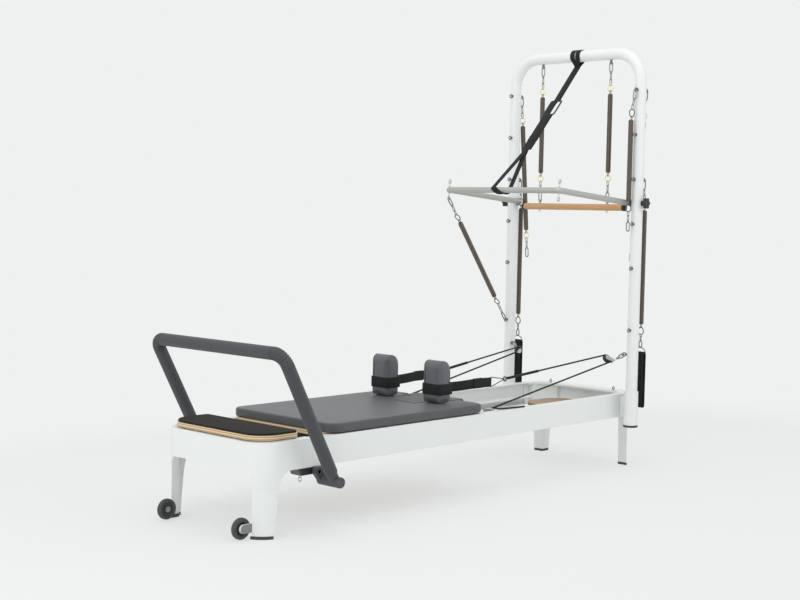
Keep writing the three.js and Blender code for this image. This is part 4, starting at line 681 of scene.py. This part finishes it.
def make_plain_finishes():
    for nodes, finish, slot, rounded in (
        ("side_rail_left side_rail_right", WHITE, "frame_white", 0.0016),
        ("foot_pad_front_left foot_pad_front_right foot_pad_back_left foot_pad_back_right",
         PAD_RUBBER, "black_rubber", 0.0015),
        ("standing_platform carriage_board", PLY, "plywood", 0.0012),
        ("head_shelf", SHELF_PLY, "plywood", 0.0012),
        ("spring_bar carriage_chassis pulley_block_left pulley_block_right", ZINC, "steel", 0.0006),
        ("platform_grip_pad", GRIP, "grip_rubber", 0.0006),
        ("footbar_carrier", DARK_STEEL, "black_plastic", 0.0008),
        ("pulley_sheave_left", BLACK_ABS, "black_plastic", 0.0006),
        ("lock_ring_left", ZINC, "steel", 0.0),
        ("pulley_sheave_right", BLACK_ABS, "black_plastic", 0.0006),
        ("lock_ring_right", ZINC, "steel", 0.0),
        ("roller_axle_front roller_axle_back", TYRE_RUBBER, "black_rubber", 0.0006),
    ):
        for node in nodes.split():
            from_frame(node, finish, rounded)


# Tower and its bars
def eyelet(root, direction, axis, shank=SHORT_SHANK):
    """A closed eye on a shank, and the collar that it has at the tube."""
    collar = [(0, -0.002), (0.0068, -0.002), (0.0068, 0.0012), (0.0052, 0.0024), (0.0032, 0.0024),
              (0.0032, shank), (0, shank)]
    eye = ring(EYE_WIRE, 10, root + direction * (shank + EYE), axis, EYE, steps=24)
    return eye, spun(collar, 20, root, direction)


def make_tower():
    corners = [(-POST_Y, POST_FOOT), (-POST_Y, TOP_BAR_Z), (POST_Y, TOP_BAR_Z), (POST_Y, POST_FOOT)]
    bow = swept(circle(TUBE, 40), bent([at(TOWER_X, y, z) for y, z in corners], TOWER_BEND, 18), X)
    piece("tower_tube", bow, "frame", WHITE, "tower_frame")
    eyes = []
    for side in (1, -1):
        post = at(TOWER_X, side * POST_Y, 0)
        for index, height in enumerate(EYE_HEIGHTS):
            here = post + Z * height
            eyes.append(eyelet(here - X * TUBE, -X, Y))
            if index in (0, 2):
                eyes.append(eyelet(here + X * TUBE, X, Y, LONG_SHANK))
        eyes.append(eyelet(at(TOWER_X, side * HOOK_Y, TOP_BAR_Z - TUBE), -Z, Y))
        inward = at(-0.509, -side * 0.861, 0).normalized()
        eyes.append(eyelet(post + Z * ROPE_EYE_Z + inward * TUBE, inward, inward.cross(Z)))
    piece("tower_eyes", together(*zip(*eyes)), "frame", [HOOK_STEEL, DARK_STEEL])


def make_knobs():
    """Star knobs: a slim hub and a lobed grip."""
    for name, side in SIDES:
        out = Y * side
        root = at(BAR_PIVOT.x, side * (POST_Y + TUBE + 0.0004), BAR_PIVOT.z)
        profile = [(0, 0), (0.0125, 0), (0.0125, 0.004), (0.0095, 0.006), (0.0095, 0.017), (0, 0.017)]
        hub = spun(profile, 28, root, out)
        rim = []
        for i in range(90):
            angle = TURN * i / 90
            reach = 0.0245 + 0.0035 * math.cos(6 * angle)
            rim.append(root + at(reach * math.cos(angle), side * 0.016, reach * math.sin(angle)))
        grip = slab(rim, 0.0145, out)
        rims = [edge for face in grip.faces if len(face.verts) > 4 for edge in face.edges]
        round_edges(grip, rims, 0.004, 4)
        node = f"pivot_knob_{name}"
        piece(node + "_grip", together([hub, grip]), node, BLACK_ABS, node, 35.0)


def make_push_bar():
    """The push-through bar: a square bow, its pivot washers, and an eye above and below each corner."""
    corners = [at(0, -BAR_Y, 0), at(-BAR_REACH, -BAR_Y, 0), at(-BAR_REACH, BAR_Y, 0), at(0, BAR_Y, 0)]
    bow = swept(circle(BAR_TUBE, 32), bent(corners, BAR_BEND, 8), Z)
    washer = [(0, 0), (0.017, 0), (0.018, 0.001), (0.018, 0.009), (0.017, 0.010), (0, 0.010)]
    inner = POST_Y - TUBE - SEAT
    washers, eyes = [], []
    for side in (1, -1):
        washers.append(spun(washer, 32, at(0, side * (inner - 0.010), 0), Y * side))
        corner = at(BAR_INSET - BAR_REACH, side * (BAR_Y - BAR_INSET), 0)
        for up in (1, -1):
            eyes += eyelet(corner + Z * up * BAR_EYE_ROOT, Z * up, Y, BAR_SHANK)
    swing = Matrix.Translation(BAR_PIVOT) @ Matrix.Rotation(BAR_PITCH, 4, "Y")
    whole = moved(together([bow], washers, eyes), swing)
    piece("push_through_tube", whole, "push_through_bar", [TUBE_METAL, DARK_STEEL, ZINC],
          "push_through_bar")


def make_roll_bar():
    """The roll-down bar: a beech rod, its end caps, and the eyes and nuts that it hangs by."""
    long = 2 * ROLL_HALF
    half_rod = [(0, 0.003), (0.0155, 0.003), (ROLL_ROD, 0.006)]
    profile = half_rod + [(radius, long - depth) for radius, depth in half_rod[::-1]]
    rod = spun(profile, 40, at(TOWER_X, -ROLL_HALF, ROLL_Z), Y)
    cap = [(0, 0), (0.0150, 0), (0.0170, 0.0012), (0.0175, 0.003), (0.0175, 0.013), (0.0168, 0.014),
           (0, 0.014)]
    nut = [(0, 0), (0.006, 0), (0.006, 0.004), (0.003, 0.004), (0.003, 0.012), (0, 0.012)]
    caps, eyes = [], []
    for side in (1, -1):
        caps.append(spun(cap, 36, at(TOWER_X, side * ROLL_HALF, ROLL_Z), -Y * side))
        hook = at(TOWER_X, side * HOOK_Y, ROLL_Z)
        eyes += [*eyelet(hook + Z * ROLL_ROD, Z, Y, 0.001), spun(nut, 6, hook - Z * 0.016, -Z)]
    piece("roll_down_rod", together([rod], caps, eyes), "roll_down_bar", [BEECH, BLACK_ABS, ZINC],
          "roll_down_bar")


def make_pulley_links():
    """A long link at each rope eye of the posts, and the swivel between it and the pulley."""
    for name, side in SIDES:
        post, centre = at(TOWER_X, side * POST_Y, ROPE_EYE_Z), PULLEY[side]
        axis = (RING_AT[side] - centre).cross(CLEAT[side] - centre).normalized()
        pull = post - centre
        bridge = centre + (pull - axis * pull.dot(axis)).normalized() * 0.035
        eye = post + at(bridge.x - post.x, bridge.y - post.y, 0).normalized() * (TUBE + SHORT_SHANK + EYE)
        line = (bridge - eye).normalized()
        link = ring(0.0030, 8, eye + line * 0.013, line.cross(Z).normalized(), 0.0085, 0.0185, line, 24)
        swivel = [(0, 0), (0.0046, 0.001), (0.0058, 0.004), (0.0058, 0.011), (0.0040, 0.015), (0, 0.016)]
        parts = [link, spun(swivel, 20, eye + line * 0.031, line)]
        piece(f"pulley_link_{name}", together(parts), "frame", HOOK_STEEL)


# Springs
def coil(start, end, radius, wire, pitch, sides=6, steps=12, turns=10, nose=0.009, closing=0.6):
    """A close-wound barrel down the Z axis: a few turns spun and repeated, then drawn in at both ends."""
    bm = bmesh.new()
    count = round((end - start) / pitch / turns)
    drop = (end - start - 2 * wire) / count
    first = Matrix.Translation((radius - wire, 0, -start - wire)) @ Matrix.Rotation(math.pi / 2, 4, "X")
    bmesh.ops.create_circle(bm, segments=sides, radius=wire, matrix=first)
    bmesh.ops.spin(bm, geom=bm.edges[:], axis=Z, cent=(0, 0, 0), angle=TURN * turns, steps=turns * steps,
                   dvec=(0, 0, -drop / turns / steps))
    wound = all_of(bm)
    for index in range(1, count):
        copy = bmesh.ops.duplicate(bm, geom=wound)["geom"]
        bmesh.ops.translate(bm, vec=(0, 0, -drop * index), verts=verts_of(copy))
    bmesh.ops.remove_doubles(bm, verts=bm.verts, dist=1e-5)
    for vert in bm.verts:
        near = min(-vert.co.z - start, end + vert.co.z)
        if near < nose:
            share = closing + (1 - closing) * math.sin(math.pi / 2 * max(near, 0) / nose)
            vert.co.x *= share
            vert.co.y *= share
    bmesh.ops.holes_fill(bm, edges=[edge for edge in bm.edges if edge.is_boundary])
    bmesh.ops.recalc_face_normals(bm, faces=bm.faces)
    return bm


def snap_hook(top, bottom):
    """A snap hook from an eye to a ring: a long hook, its swivel, and the two links below it."""
    reach = (bottom - top).length
    down = (bottom - top).normalized()
    long = min(0.046, reach * 0.46)
    swivel = [(0, -0.002), (0.0050, -0.001), (0.0056, 0.003), (0.0048, 0.008), (0.0030, 0.010), (0, 0.011)]
    parts = [ring(0.0029, 8, top + down * long / 2, X, 0.0085, long / 2, down, 24),
             spun(swivel, 14, top + down * long, down)]
    first = long + 0.010
    each = (reach - first) / 2
    for index, across in enumerate((X.cross(down), X)):
        centre = top + down * (first + each * (index + 0.5))
        parts.append(ring(0.0020, 8, centre, across, 0.0052, each / 2 + 0.0016, down, 20))
    return parts


def hanging_spring(name, body, place, size, sway=Vector(), more=(), held=None):
    """A spring drawn down from its eye: snap hook, ring, coil, ring and snap hook, as its solid has them."""
    start, end, hang, half_width, half_height, pale = size
    share = (start - 0.003 - half_height) / start
    upper = at(sway.x * share, sway.y * share, -(start - 0.003 - half_height))
    lower = at(sway.x, sway.y, -(end + 0.003 + half_height))
    lift = Z * (half_height - 0.003)
    aside = at(sway.x, sway.y, 0)
    hooks = snap_hook(Z * (RING_WIRE - HOOK_PLAY), upper + lift) + snap_hook(aside - Z * hang, lower - lift)
    barrel = coil(start + 0.006, end - 0.006, 0.0125, 0.00145, 0.0029)
    wires = [moved(barrel, Matrix.Translation(aside))]
    rings = []
    for centre, up, far in ((upper, 1, -start), (lower, -1, -end)):
        route = loop(centre, X, half_width - RING_WIRE, half_height - RING_WIRE, Z, 30)
        for spot in route if not pale else ():
            narrow = 1 - 0.38 * max(0, -up * (spot.z - centre.z) / half_height)
            spot.y = centre.y + (spot.y - centre.y) * narrow
        rings.append(swept(circle(RING_WIRE, 10), route, X, closed=True))
        middle = (centre - Z * up * half_height + at(sway.x, sway.y, far)) / 2
        wires.append(ring(0.0016, 8, middle, Y, 0.0055, 0.009, Z, 20))
    metals = [SPRING_WIRE, HOOK_STEEL, YELLOW_ZINC if pale else DARK_STEEL]
    whole = moved(together(wires, [*hooks, *more], rings), place)
    piece(name + "_coil", whole, body, metals, name, held=held)


def dee_ring():
    """The D-shaped ring at the foot of a leg spring."""
    top = at(LEG_SWAY, 0, -(LEG_HANG + RING_WIRE))
    bow = []
    for i in range(17):
        turn = math.pi * i / 16
        bow.append(top + at(0, DEE_HALF * math.cos(turn), -DEE_HEIGHT + DEE_HEIGHT * math.sin(turn)))
    foot = -DEE_HEIGHT - 0.0015
    route = [top + at(0, DEE_HALF - 0.002, foot)] + bow + [top + at(0, 0.002 - DEE_HALF, foot)]
    return swept(circle(DEE_WIRE, 10), route, X, closed=True)


def make_tower_springs():
    near, head = TUBE + SHORT_SHANK + EYE, TOWER_X + TUBE + LONG_SHANK + EYE
    for name, side in SIDES:
        post, bar_eye = side * POST_Y, TOP_BAR_Z - near
        hang = bar_eye - ROLL_Z - ROLL_ROD - EYE - HOOK_PLAY
        place = Matrix.Translation((TOWER_X, side * HOOK_Y, bar_eye))
        hanging_spring(f"roll_down_spring_{name}", "roll_down_bar", place, (0.145, 0.545, hang, *ROUND))
        lean = Matrix.Rotation(-side * math.radians(4.2), 4, "X")
        place = Matrix.Translation((head, post, EYE_HEIGHTS[0])) @ lean
        hanging_spring(f"arm_spring_{name}", f"arm_spring_{name}", place, (0.142, 0.698, ARM_HANG, *ROUND))
        place = Matrix.Translation((head, post, EYE_HEIGHTS[2]))
        hanging_spring(f"leg_spring_{name}", f"leg_spring_{name}", place, (0.140, 0.711, LEG_HANG, *LONG),
                       X * LEG_SWAY, [dee_ring()])
    spare = Matrix.Translation((TOWER_X - near, -POST_Y, EYE_HEIGHTS[0]))
    hanging_spring("spare_bar_spring", "spare_bar_spring", spare, (0.137, 0.542, SPARE_HANG, *LONG),
                   at(-0.010, 0.016, 0))
    bar_eye = at(BAR_INSET - BAR_REACH, BAR_Y - BAR_INSET, -(BAR_EYE_ROOT + BAR_SHANK + EYE))
    low = BAR_PIVOT + Matrix.Rotation(BAR_PITCH, 3, "Y") @ bar_eye
    post_eye = at(TOWER_X - near, POST_Y, EYE_HEIGHTS[-1])
    line = post_eye - low
    place = Matrix.Translation(low) @ (-Z).rotation_difference(line).to_matrix().to_4x4()
    hanging_spring("push_bar_spring", "frame", place, (0.147, 0.658, line.length - HOOK_PLAY, *LONG),
                   held=("push_through_bar", post_eye.lerp(low, 0.19), low.lerp(post_eye, 0.19)))


def make_carriage_springs():
    """Five springs under the carriage, with a bent hook over the bar in front and the anchor behind."""
    bar_x, anchor_x, z, apart = -0.90725, -0.34725, 0.290, 0.055
    over, under, out = 0.3108, 0.301, 0.0068
    along = (-Z).rotation_difference(X).to_matrix().to_4x4()
    for index in range(5):
        y = (index - 2) * apart
        barrel = coil(0.020, anchor_x - bar_x - 0.020, 0.010, 0.0013, 0.0026)
        barrel = moved(barrel, Matrix.Translation((bar_x, y, z)) @ along)
        hooks = []
        for x, way in ((bar_x, 1), (anchor_x, -1)):
            near, far = x + way * out, x - way * out
            turns = ((x + way * 0.024, z), (near, z + 0.004), (near, over), (far, over), (far, under))
            corners = [at(along_x, y, height) for along_x, height in turns]
            hooks.append(swept(circle(0.0021, 10), bent(corners, 0.003, 5), Y))
        node = f"carriage_spring_{index + 1}"
        piece(node + "_coil", together([barrel], hooks), "frame", [SPRING_WIRE, ZINC], node,
              held=("carriage", at(bar_x + 0.024, y, z), at(anchor_x - 0.024, y, z)))


# Footbar
def link_outline(offset, radius):
    """Outline of two round ends joined by their tangents, from the origin to an offset."""
    turn = math.atan2(offset.z, offset.x)
    points = []
    for centre, start in ((Vector(), turn + math.pi / 2), (offset, turn - math.pi / 2)):
        for i in range(17):
            angle = start + math.pi * i / 16
            points.append(centre + at(radius * math.cos(angle), 0, radius * math.sin(angle)))
    return points


def bellows(path, low, high, ribs=9):
    """A ribbed cover along a bend, with its ridges across it."""
    fine = [path[0]]
    for before, after in zip(path, path[1:]):
        fine += [before.lerp(after, i / 4) for i in range(1, 5)]
    bm = swept(circle(low, 32), fine, X)
    along = bm.verts.layers.float["along"]
    reached = [0.0]
    for before, after in zip(fine, fine[1:]):
        reached.append(reached[-1] + (after - before).length)
    for vert in bm.verts:
        middle = fine[min(bisect.bisect_left(reached, vert[along] - 1e-5), len(fine) - 1)]
        wave = math.sin(math.pi * ribs * vert[along] / reached[-1]) ** 2
        vert.co += (vert.co - middle).normalized() * (high - low) * (0.35 + 0.65 * wave)
    return bm


def make_footbar():
    """Painted tube with its cranks, foam sleeves on its straight runs and ribbed covers at its corners."""
    half, tube, foam, bore = FOOTBAR_HALF, FOOTBAR_TUBE, 0.0255, 0.0218
    ends = (CRANK - Y * half, BAR_TOP - Y * half, BAR_TOP + Y * half, CRANK + Y * half)
    route = [FOOTBAR_PIVOT + end for end in ends]
    stub = [(0, 0), (tube, 0), (tube, 0.113), (0.0200, 0.117), (0.0150, 0.1165), (0, 0.1165)]
    parts = [swept(circle(tube, 32), bent(route, ELBOW, 12), X)]
    for side in (1, -1):
        inner = FOOTBAR_PIVOT + Y * side * 0.307
        parts.append(spun(stub, 32, inner + CRANK, Y * side))
        parts.append(slab([inner + v for v in link_outline(CRANK, 0.018)], 0.024 * side, Y))
    piece("footbar_tubes", together(parts), "footbar", GREY_PAINT, "footbar_frame",
          rounded=0.0008)
    reach = ELBOW * math.tan((math.pi - (route[0] - route[1]).angle(route[2] - route[1])) / 2)
    arm = (route[1] - route[0]).normalized()
    for name, start, end in (
        ("top_pad", route[1] + Y * reach, route[2] - Y * reach),
        ("arm_pad_right", route[0] + arm * 0.0415, route[1] - arm * reach),
        ("arm_pad_left", route[3] + arm * 0.0415, route[2] - arm * reach),
    ):
        long = (end - start).length
        profile = [(bore, 0), (foam - 0.002, 0), (foam, 0.002), (foam, long - 0.002), (foam - 0.002, long),
                   (bore, long), (bore, 0)]
        sleeve = spun(profile, 40, start, (end - start).normalized())
        piece(f"footbar_{name}_foam", sleeve, "footbar", FOAM, f"footbar_{name}")
    covers = [bellows(bent(route[i - 1 : i + 2], ELBOW, 26)[1:-1], 0.0222, 0.0262) for i in (1, 2)]
    piece("footbar_corner_covers", together(covers), "footbar", FOAM)


# Wheels
def make_wheels():
    """A grooved tyre on a dished rim, with a steel bush at each side."""
    seat = 0.0275
    groove = [(seat, 0.0075), (0.0290, 0.009), (0.0310, 0.009), (0.0318, 0.0078), (0.0330, 0.0078),
              (0.0338, 0.009)]
    crown = [(0.038, 0.009), (0.0405, 0.0075), (0.0415, 0.0045)]
    tyre = [(r, -h) for r, h in groove + crown] + crown[::-1]
    tyre += [(0.030, 0.009), (seat, 0.0075), (seat, -0.0075)]
    dish = [(seat, 0.0065), (0.0255, 0.0075), (0.0235, 0.0060), (0.0150, 0.0055), (0.0130, 0.0088),
            (0.0055, 0.0088)]
    rim = [(r, -h) for r, h in dish] + dish[::-1] + [(seat, -0.0065)]
    bush = [(0.0048, 0.0080), (0.0118, 0.0080), (0.0118, 0.0100), (0.0105, 0.0108), (0.0048, 0.0108),
            (0.0048, 0.0080)]
    for name, side in SIDES:
        node = f"transport_wheel_{name}"
        centre = at(WHEEL_X, side * WHEEL_Y, WHEEL_Z)
        bushes = [spun(bush, 36, centre, way) for way in (Y, -Y)]
        whole = together([spun(tyre, 56, centre, Y)], [spun(rim, 56, centre, Y)], bushes)
        piece(node + "_tyre", whole, node, [TYRE_RUBBER, BLACK_ABS, HOOK_STEEL], node)


# Soft pieces
def cushion(corners, low, high, roundness=0.009, crown=0.0020, grid=0.022):
    """A padded slab: an outline pushed up, with round rims, and a top that rises away from them."""
    points = outline(corners)
    bm = slab([point + Z * low for point in points], high - low, Z)
    round_edges(bm, rims_of(bm, 2), roundness, 5)
    for axis, direction in enumerate((X, Y)):
        places_on = [point[axis] for point in points]
        for i in range(1, int((max(places_on) - min(places_on)) / grid)):
            cut(bm, direction * (min(places_on) + i * grid), direction)
    segments = [(a, b - a) for a, b in zip(points, points[1:] + points[:1])]
    for vert in bm.verts:
        if vert.co.z < (low + high) / 2:
            continue
        flat = at(vert.co.x, vert.co.y, 0)
        gaps = [(flat - a - ab * max(0, min(1, (flat - a).dot(ab) / ab.length_squared))).length
                for a, ab in segments]
        vert.co.z += crown * min(1, min(gaps) / 0.09) ** 0.6 - crown * 0.5
    bmesh.ops.recalc_face_normals(bm, faces=bm.faces)
    return bm


def make_carriage_pads():
    """The mattress, with its notch for the headrest, and the headrest."""
    edge, end, half = -0.84725, 0.08275, 0.308
    start, step, narrow, wide = -0.15125, 0.03375, 0.101, 0.146
    corners = [(edge, -half, 0.05), (end, -half, 0.05), (end, -wide, 0.014), (step, -wide, 0),
               (step, -narrow, 0), (start, -narrow, 0)]
    pad = cushion(both_halves(corners), 0.3723, MAT_TOP)
    piece("mattress_pad", pad, "carriage", VINYL, "mattress")
    gap, tip = 0.004, 0.13875
    corners = [(start + gap, gap - narrow, 0.014), (step + gap, gap - narrow, 0),
               (step + gap, gap - wide, 0.014), (tip, gap - wide, 0.022)]
    head = cushion(both_halves(corners), 0.3728, MAT_TOP)
    piece("headrest_pad", head, "headrest", VINYL, "headrest")


def swelled(bm, voxel=0.004, cap=0.0035):
    """Foam in its cover: the form is remeshed, swelled a little as cloth under pressure, and subdivided."""
    cover = in_scene("cover", as_mesh("cover", bm))
    remesh = cover.modifiers.new("even mesh", "REMESH")
    remesh.mode, remesh.voxel_size = "VOXEL", voxel
    even = bpy.data.meshes.new_from_object(cover.evaluated_get(bpy.context.evaluated_depsgraph_get()))
    cover.modifiers.clear()
    cover.data = even
    start = [vert.co.copy() for vert in even.vertices]
    cloth = cover.modifiers.new("swell", "CLOTH")
    cloth.settings.use_pressure, cloth.settings.uniform_pressure_force = True, 4.0
    cloth.settings.effector_weights.gravity = 0.0
    cloth.point_cache.frame_end = 20
    for step in range(1, 21):
        scene.frame_set(step)
    grown = bpy.data.meshes.new_from_object(cover.evaluated_get(bpy.context.evaluated_depsgraph_get()))
    cover.modifiers.clear()
    scene.frame_set(1)
    for vert, before, after in zip(even.vertices, start, grown.vertices):
        shift = after.co - before
        vert.co = before + shift * min(1, cap / max(shift.length, 1e-9))
    bpy.data.meshes.remove(grown)
    full = bmesh.new()
    full.from_mesh(even)
    bpy.data.objects.remove(cover)
    for turn in range(3):
        bmesh.ops.smooth_vert(full, verts=full.verts, factor=0.5,
                              use_axis_x=True, use_axis_y=True, use_axis_z=True)
    bmesh.ops.subdivide_edges(full, edges=full.edges[:], cuts=1, use_grid_fill=True, smooth=0.6)
    bmesh.ops.recalc_face_normals(full, faces=full.faces)
    return full


def make_rests():
    """Shoulder rests: a swelled block with a welt round each cheek, on a plastic foot."""
    low, high, half, width, welt_in = 0.4158, 0.5985, 0.0370, 0.0935, 0.0055
    corners = [(-half, low, 0.012), (half, low, 0.012), (half, high, 0.044), (-half, high, 0.024)]
    back, under, top = half - 0.0012, low + 0.002, high - 0.003
    inner = [(-back, under, 0.012), (back, under, 0.012), (back, top, 0.044), (-back, top, 0.024)]
    for name, side in SIDES:
        y0 = side * REST_Y - width / 2
        bm = slab([at(REST_X + p.x, y0, p.y) for p in outline(corners, 12)], width, Y)
        round_edges(bm, rims_of(bm, 1), 0.006, 3)
        welts = []
        for y in (y0 + welt_in, y0 + width - welt_in):
            path = [at(REST_X + p.x, y, p.y) for p in outline(inner, 12)]
            welts.append(swept(circle(0.0026, 8), path, Y, closed=True))
        rest = piece(f"shoulder_rest_{name}_pad", together([swelled(bm), *welts]), "carriage",
                     REST_VINYL, f"shoulder_rest_{name}", 60.0)
        plan = [at(REST_X + x, side * REST_Y + y, 0.404) for x, y in FOOT_PLAN]
        foot = slab(plan, 0.0105, Z)
        piece(f"rest_foot_{name}", foot, "carriage", BLACK_ABS, rounded=0.002)


# Straps and ropes
def make_hand_straps():
    """A loop round each shoulder rest, drawn to a wide tail with a keeper, a wire triangle and a ring."""
    half_x, half_y, z = 0.0415, 0.0515, 0.474
    for name, side in SIDES:
        x, y = REST_X, side * REST_Y
        join_x = x + 0.082
        plan = ((x - half_x, -half_y), (x + half_x, -half_y), (join_x, 0.004), (join_x, 0.008),
                (x + half_x, half_y), (x - half_x, half_y))
        corners = [at(along_x, y + side * out, z) for along_x, out in plan]
        tail = [at(join_x - 0.004, y + side * 0.006, z), at(x + 0.16, y + side * 0.014, z + 0.002),
                at(x + 0.24, y + side * 0.022, z + 0.006), at(x + 0.333, side * 0.187, z + 0.006)]
        bands = [band(0.048, 0.004, rounded_loop(corners, 0.012, 6), Z, closed=True),
                 band(0.044, 0.007, bent(tail, 0.2, 8), Z),
                 band(0.047, 0.011, [tail[2] - X * 0.02, tail[2] + X * 0.035], Z)]
        triangle = [tail[3] + Z * 0.022, tail[3] - Z * 0.022, RING_AT[side] - X * 0.002]
        wires = [swept(circle(0.0024, 8), rounded_loop(triangle, 0.004, 5), Y, closed=True),
                 ring(0.0036, 10, RING_AT[side], Y, 0.009)]
        node = f"hand_strap_{name}"
        piece(node + "_webbing", together(bands, wires), "carriage", [WEBBING, DARK_STEEL], node)


def make_leg_straps():
    """A flat loop of webbing over the D ring of each leg spring."""
    x = TOWER_X + TUBE + LONG_SHANK + EYE + LEG_SWAY
    top = EYE_HEIGHTS[2] - LEG_HANG - RING_WIRE - DEE_HEIGHT + DEE_WIRE + SEAT + 0.002
    bottom = top - 0.272
    for name, side in SIDES:
        node, y = f"leg_strap_{name}", side * POST_Y
        section = ((-0.01, top), (0.01, top), (0.01, bottom), (-0.01, bottom))
        corners = [at(x + across, y, z) for across, z in section]
        strap = band(0.053, 0.004, rounded_loop(corners, 0.009, 6), closed=True)
        piece(node + "_webbing", strap, node, WEBBING, node)


def around_bar(place, bar, radius, start_y, end_y, steps=16):
    """Points of a tape that leaves a place, goes round a bar and comes back."""
    line = at(place.x - bar.x, 0, place.z - bar.z)
    lean = math.acos(radius / line.length)
    first = math.atan2(line.z, line.x) + lean
    points = [place]
    for i in range(steps + 1):
        share = i / steps
        turn = first + (TURN - 2 * lean) * share
        across = start_y + (end_y - start_y) * share
        points.append(bar + at(radius * math.cos(turn), across, radius * math.sin(turn)))
    return points + [place]


def make_safety_strap():
    """Two loops on the top bar drawn together, a slide, a wide band and a sling under the cross bar."""
    top = at(TOWER_X, -0.009, TOP_BAR_Z)
    neck = at(TOWER_X - 0.005, -0.009, TOP_BAR_Z - 0.058)
    bottom = at(TOWER_X - 0.564, 0.004, 1.353)
    slide, slot_end, split = (neck.lerp(bottom, share) for share in (0.284, 0.39, 0.678))
    bands = []
    for side in (1, -1):
        tied = band(0.026, STRAP, around_bar(neck, top, TUBE + STRAP, side * 0.0155, side * 0.0155))
        for vert in tied.verts:
            near = max(0.0, 1 - (vert.co - neck).length / 0.045)
            vert.co.y = top.y + (vert.co.y - top.y) * (1 - 0.3 * near)
        bands.append(tied)
    aside = Y * 0.011
    bands.append(band(0.038, 0.006, [neck + Z * 0.006, neck.lerp(slide, 0.5) - X * 0.003, slide]))
    route = [slide + aside * 0.6, slide.lerp(slot_end, 0.15) + aside, slot_end + aside]
    bands.append(band(0.034, 0.005, route))
    bands.append(band(0.056, 0.005, [slot_end, split]))
    bands.append(band(0.058, 0.008, [slot_end.lerp(split, 0.62), slot_end.lerp(split, 0.75)]))
    bands.append(band(0.028, STRAP, around_bar(split, bottom, BAR_TUBE + STRAP, 0.038, -0.034)))
    along, middle = (slot_end - slide).normalized(), (slide + slot_end) / 2
    corners = [middle + along * a * 0.047 + Y * b * 0.031 for a, b in ((1, 1), (1, -1), (-1, -1), (-1, 1))]
    section = [(x, y * 0.6) for x, y in circle(0.0048, 10)]
    slot = swept(section, rounded_loop(corners, 0.008, 5), Y.cross(along), closed=True, carried=False)
    piece("safety_strap_webbing", together(bands, [slot]), "frame", [WEBBING, BLACK_ABS],
          "safety_strap", held=("push_through_bar", neck, split))


def rope_route(side):
    """A rope's points from its cleat round its sheave to the ring, and its direction at the ring."""
    centre, ring_at, cleat = PULLEY[side], RING_AT[side], CLEAT[side]
    axis = (ring_at - centre).cross(cleat - centre).normalized()
    around = SHEAVE + SEAT
    touches = []
    for point, other in ((ring_at, cleat), (cleat, ring_at)):
        out = point - centre
        across = axis.cross(out.normalized())
        across = -across if across.dot(other - centre) > 0 else across
        turn = math.acos(around / out.length)
        touches.append(out.normalized() * around * math.cos(turn) + across * around * math.sin(turn))
    away = (centre + touches[0] - ring_at).normalized()
    spin = touches[0].cross(away).normalized()
    sweep = math.atan2(spin.dot(touches[0].cross(touches[1])), touches[0].dot(touches[1])) % (TURN)
    wrap = [centre + Matrix.Rotation(sweep * i / 20, 3, spin) @ touches[0] for i in range(21)]
    start = ring_at + away * 0.0125
    run = [start.lerp(wrap[0], i / 16) for i in range(16)]
    back = [wrap[-1].lerp(cleat, i / 16) for i in range(1, 17)]
    return (run + wrap + back)[::-1], away


# A rope's loose end past its cleat, as x, distance from the middle, and height
TAIL = ((0.196, 0.264, 0.3755), (0.216, 0.272, 0.3716), (0.250, 0.281, 0.3713), (0.290, 0.288, 0.3713),
        (0.330, 0.292, 0.3713), (0.372, 0.294, 0.3713))


def make_ropes():
    """Each rope from its cleat to the hand strap's ring, its sleeve there, and its loose tail."""
    for name, side in SIDES:
        path, away = rope_route(side)
        held = ("carriage", PULLEY[side] - X * 0.03, at(RING_AT[side].x + 0.012, *PULLEY[side].yz))
        rope = swept(circle(ROPE, 12), path)
        rope = piece(f"rope_{name}_braid", rope, "frame", CORD, f"rope_{name}", held=held)
        sleeve = swept(circle(0.0064, 16), [path[-1] + away * 0.004, path[-1] + away * 0.205])
        sleeve = piece(f"rope_{name}_sleeve", sleeve, "frame", WEBBING, held=held)
        bends = [at(x, side * y, z) for x, y, z in TAIL]
        tail = [before.lerp(after, i / 3) for before, after in zip(bends, bends[1:]) for i in range(3)]
        tail.append(bends[-1])
        loose = piece(f"rope_{name}_tail", swept(circle(ROPE, 12), tail), "carriage", CORD)


set_camera()
set_lights()
set_floor()
scene.view_settings.view_transform = "Standard"

make_castings()
make_plain_finishes()
make_tower()
make_knobs()
make_sockets()
make_push_bar()
make_roll_bar()
make_pulley_links()
make_tower_springs()
make_carriage_springs()
make_footbar()
make_wheels()
make_carriage_pads()
make_rests()
make_hand_straps()
make_leg_straps()
make_safety_strap()
make_ropes()
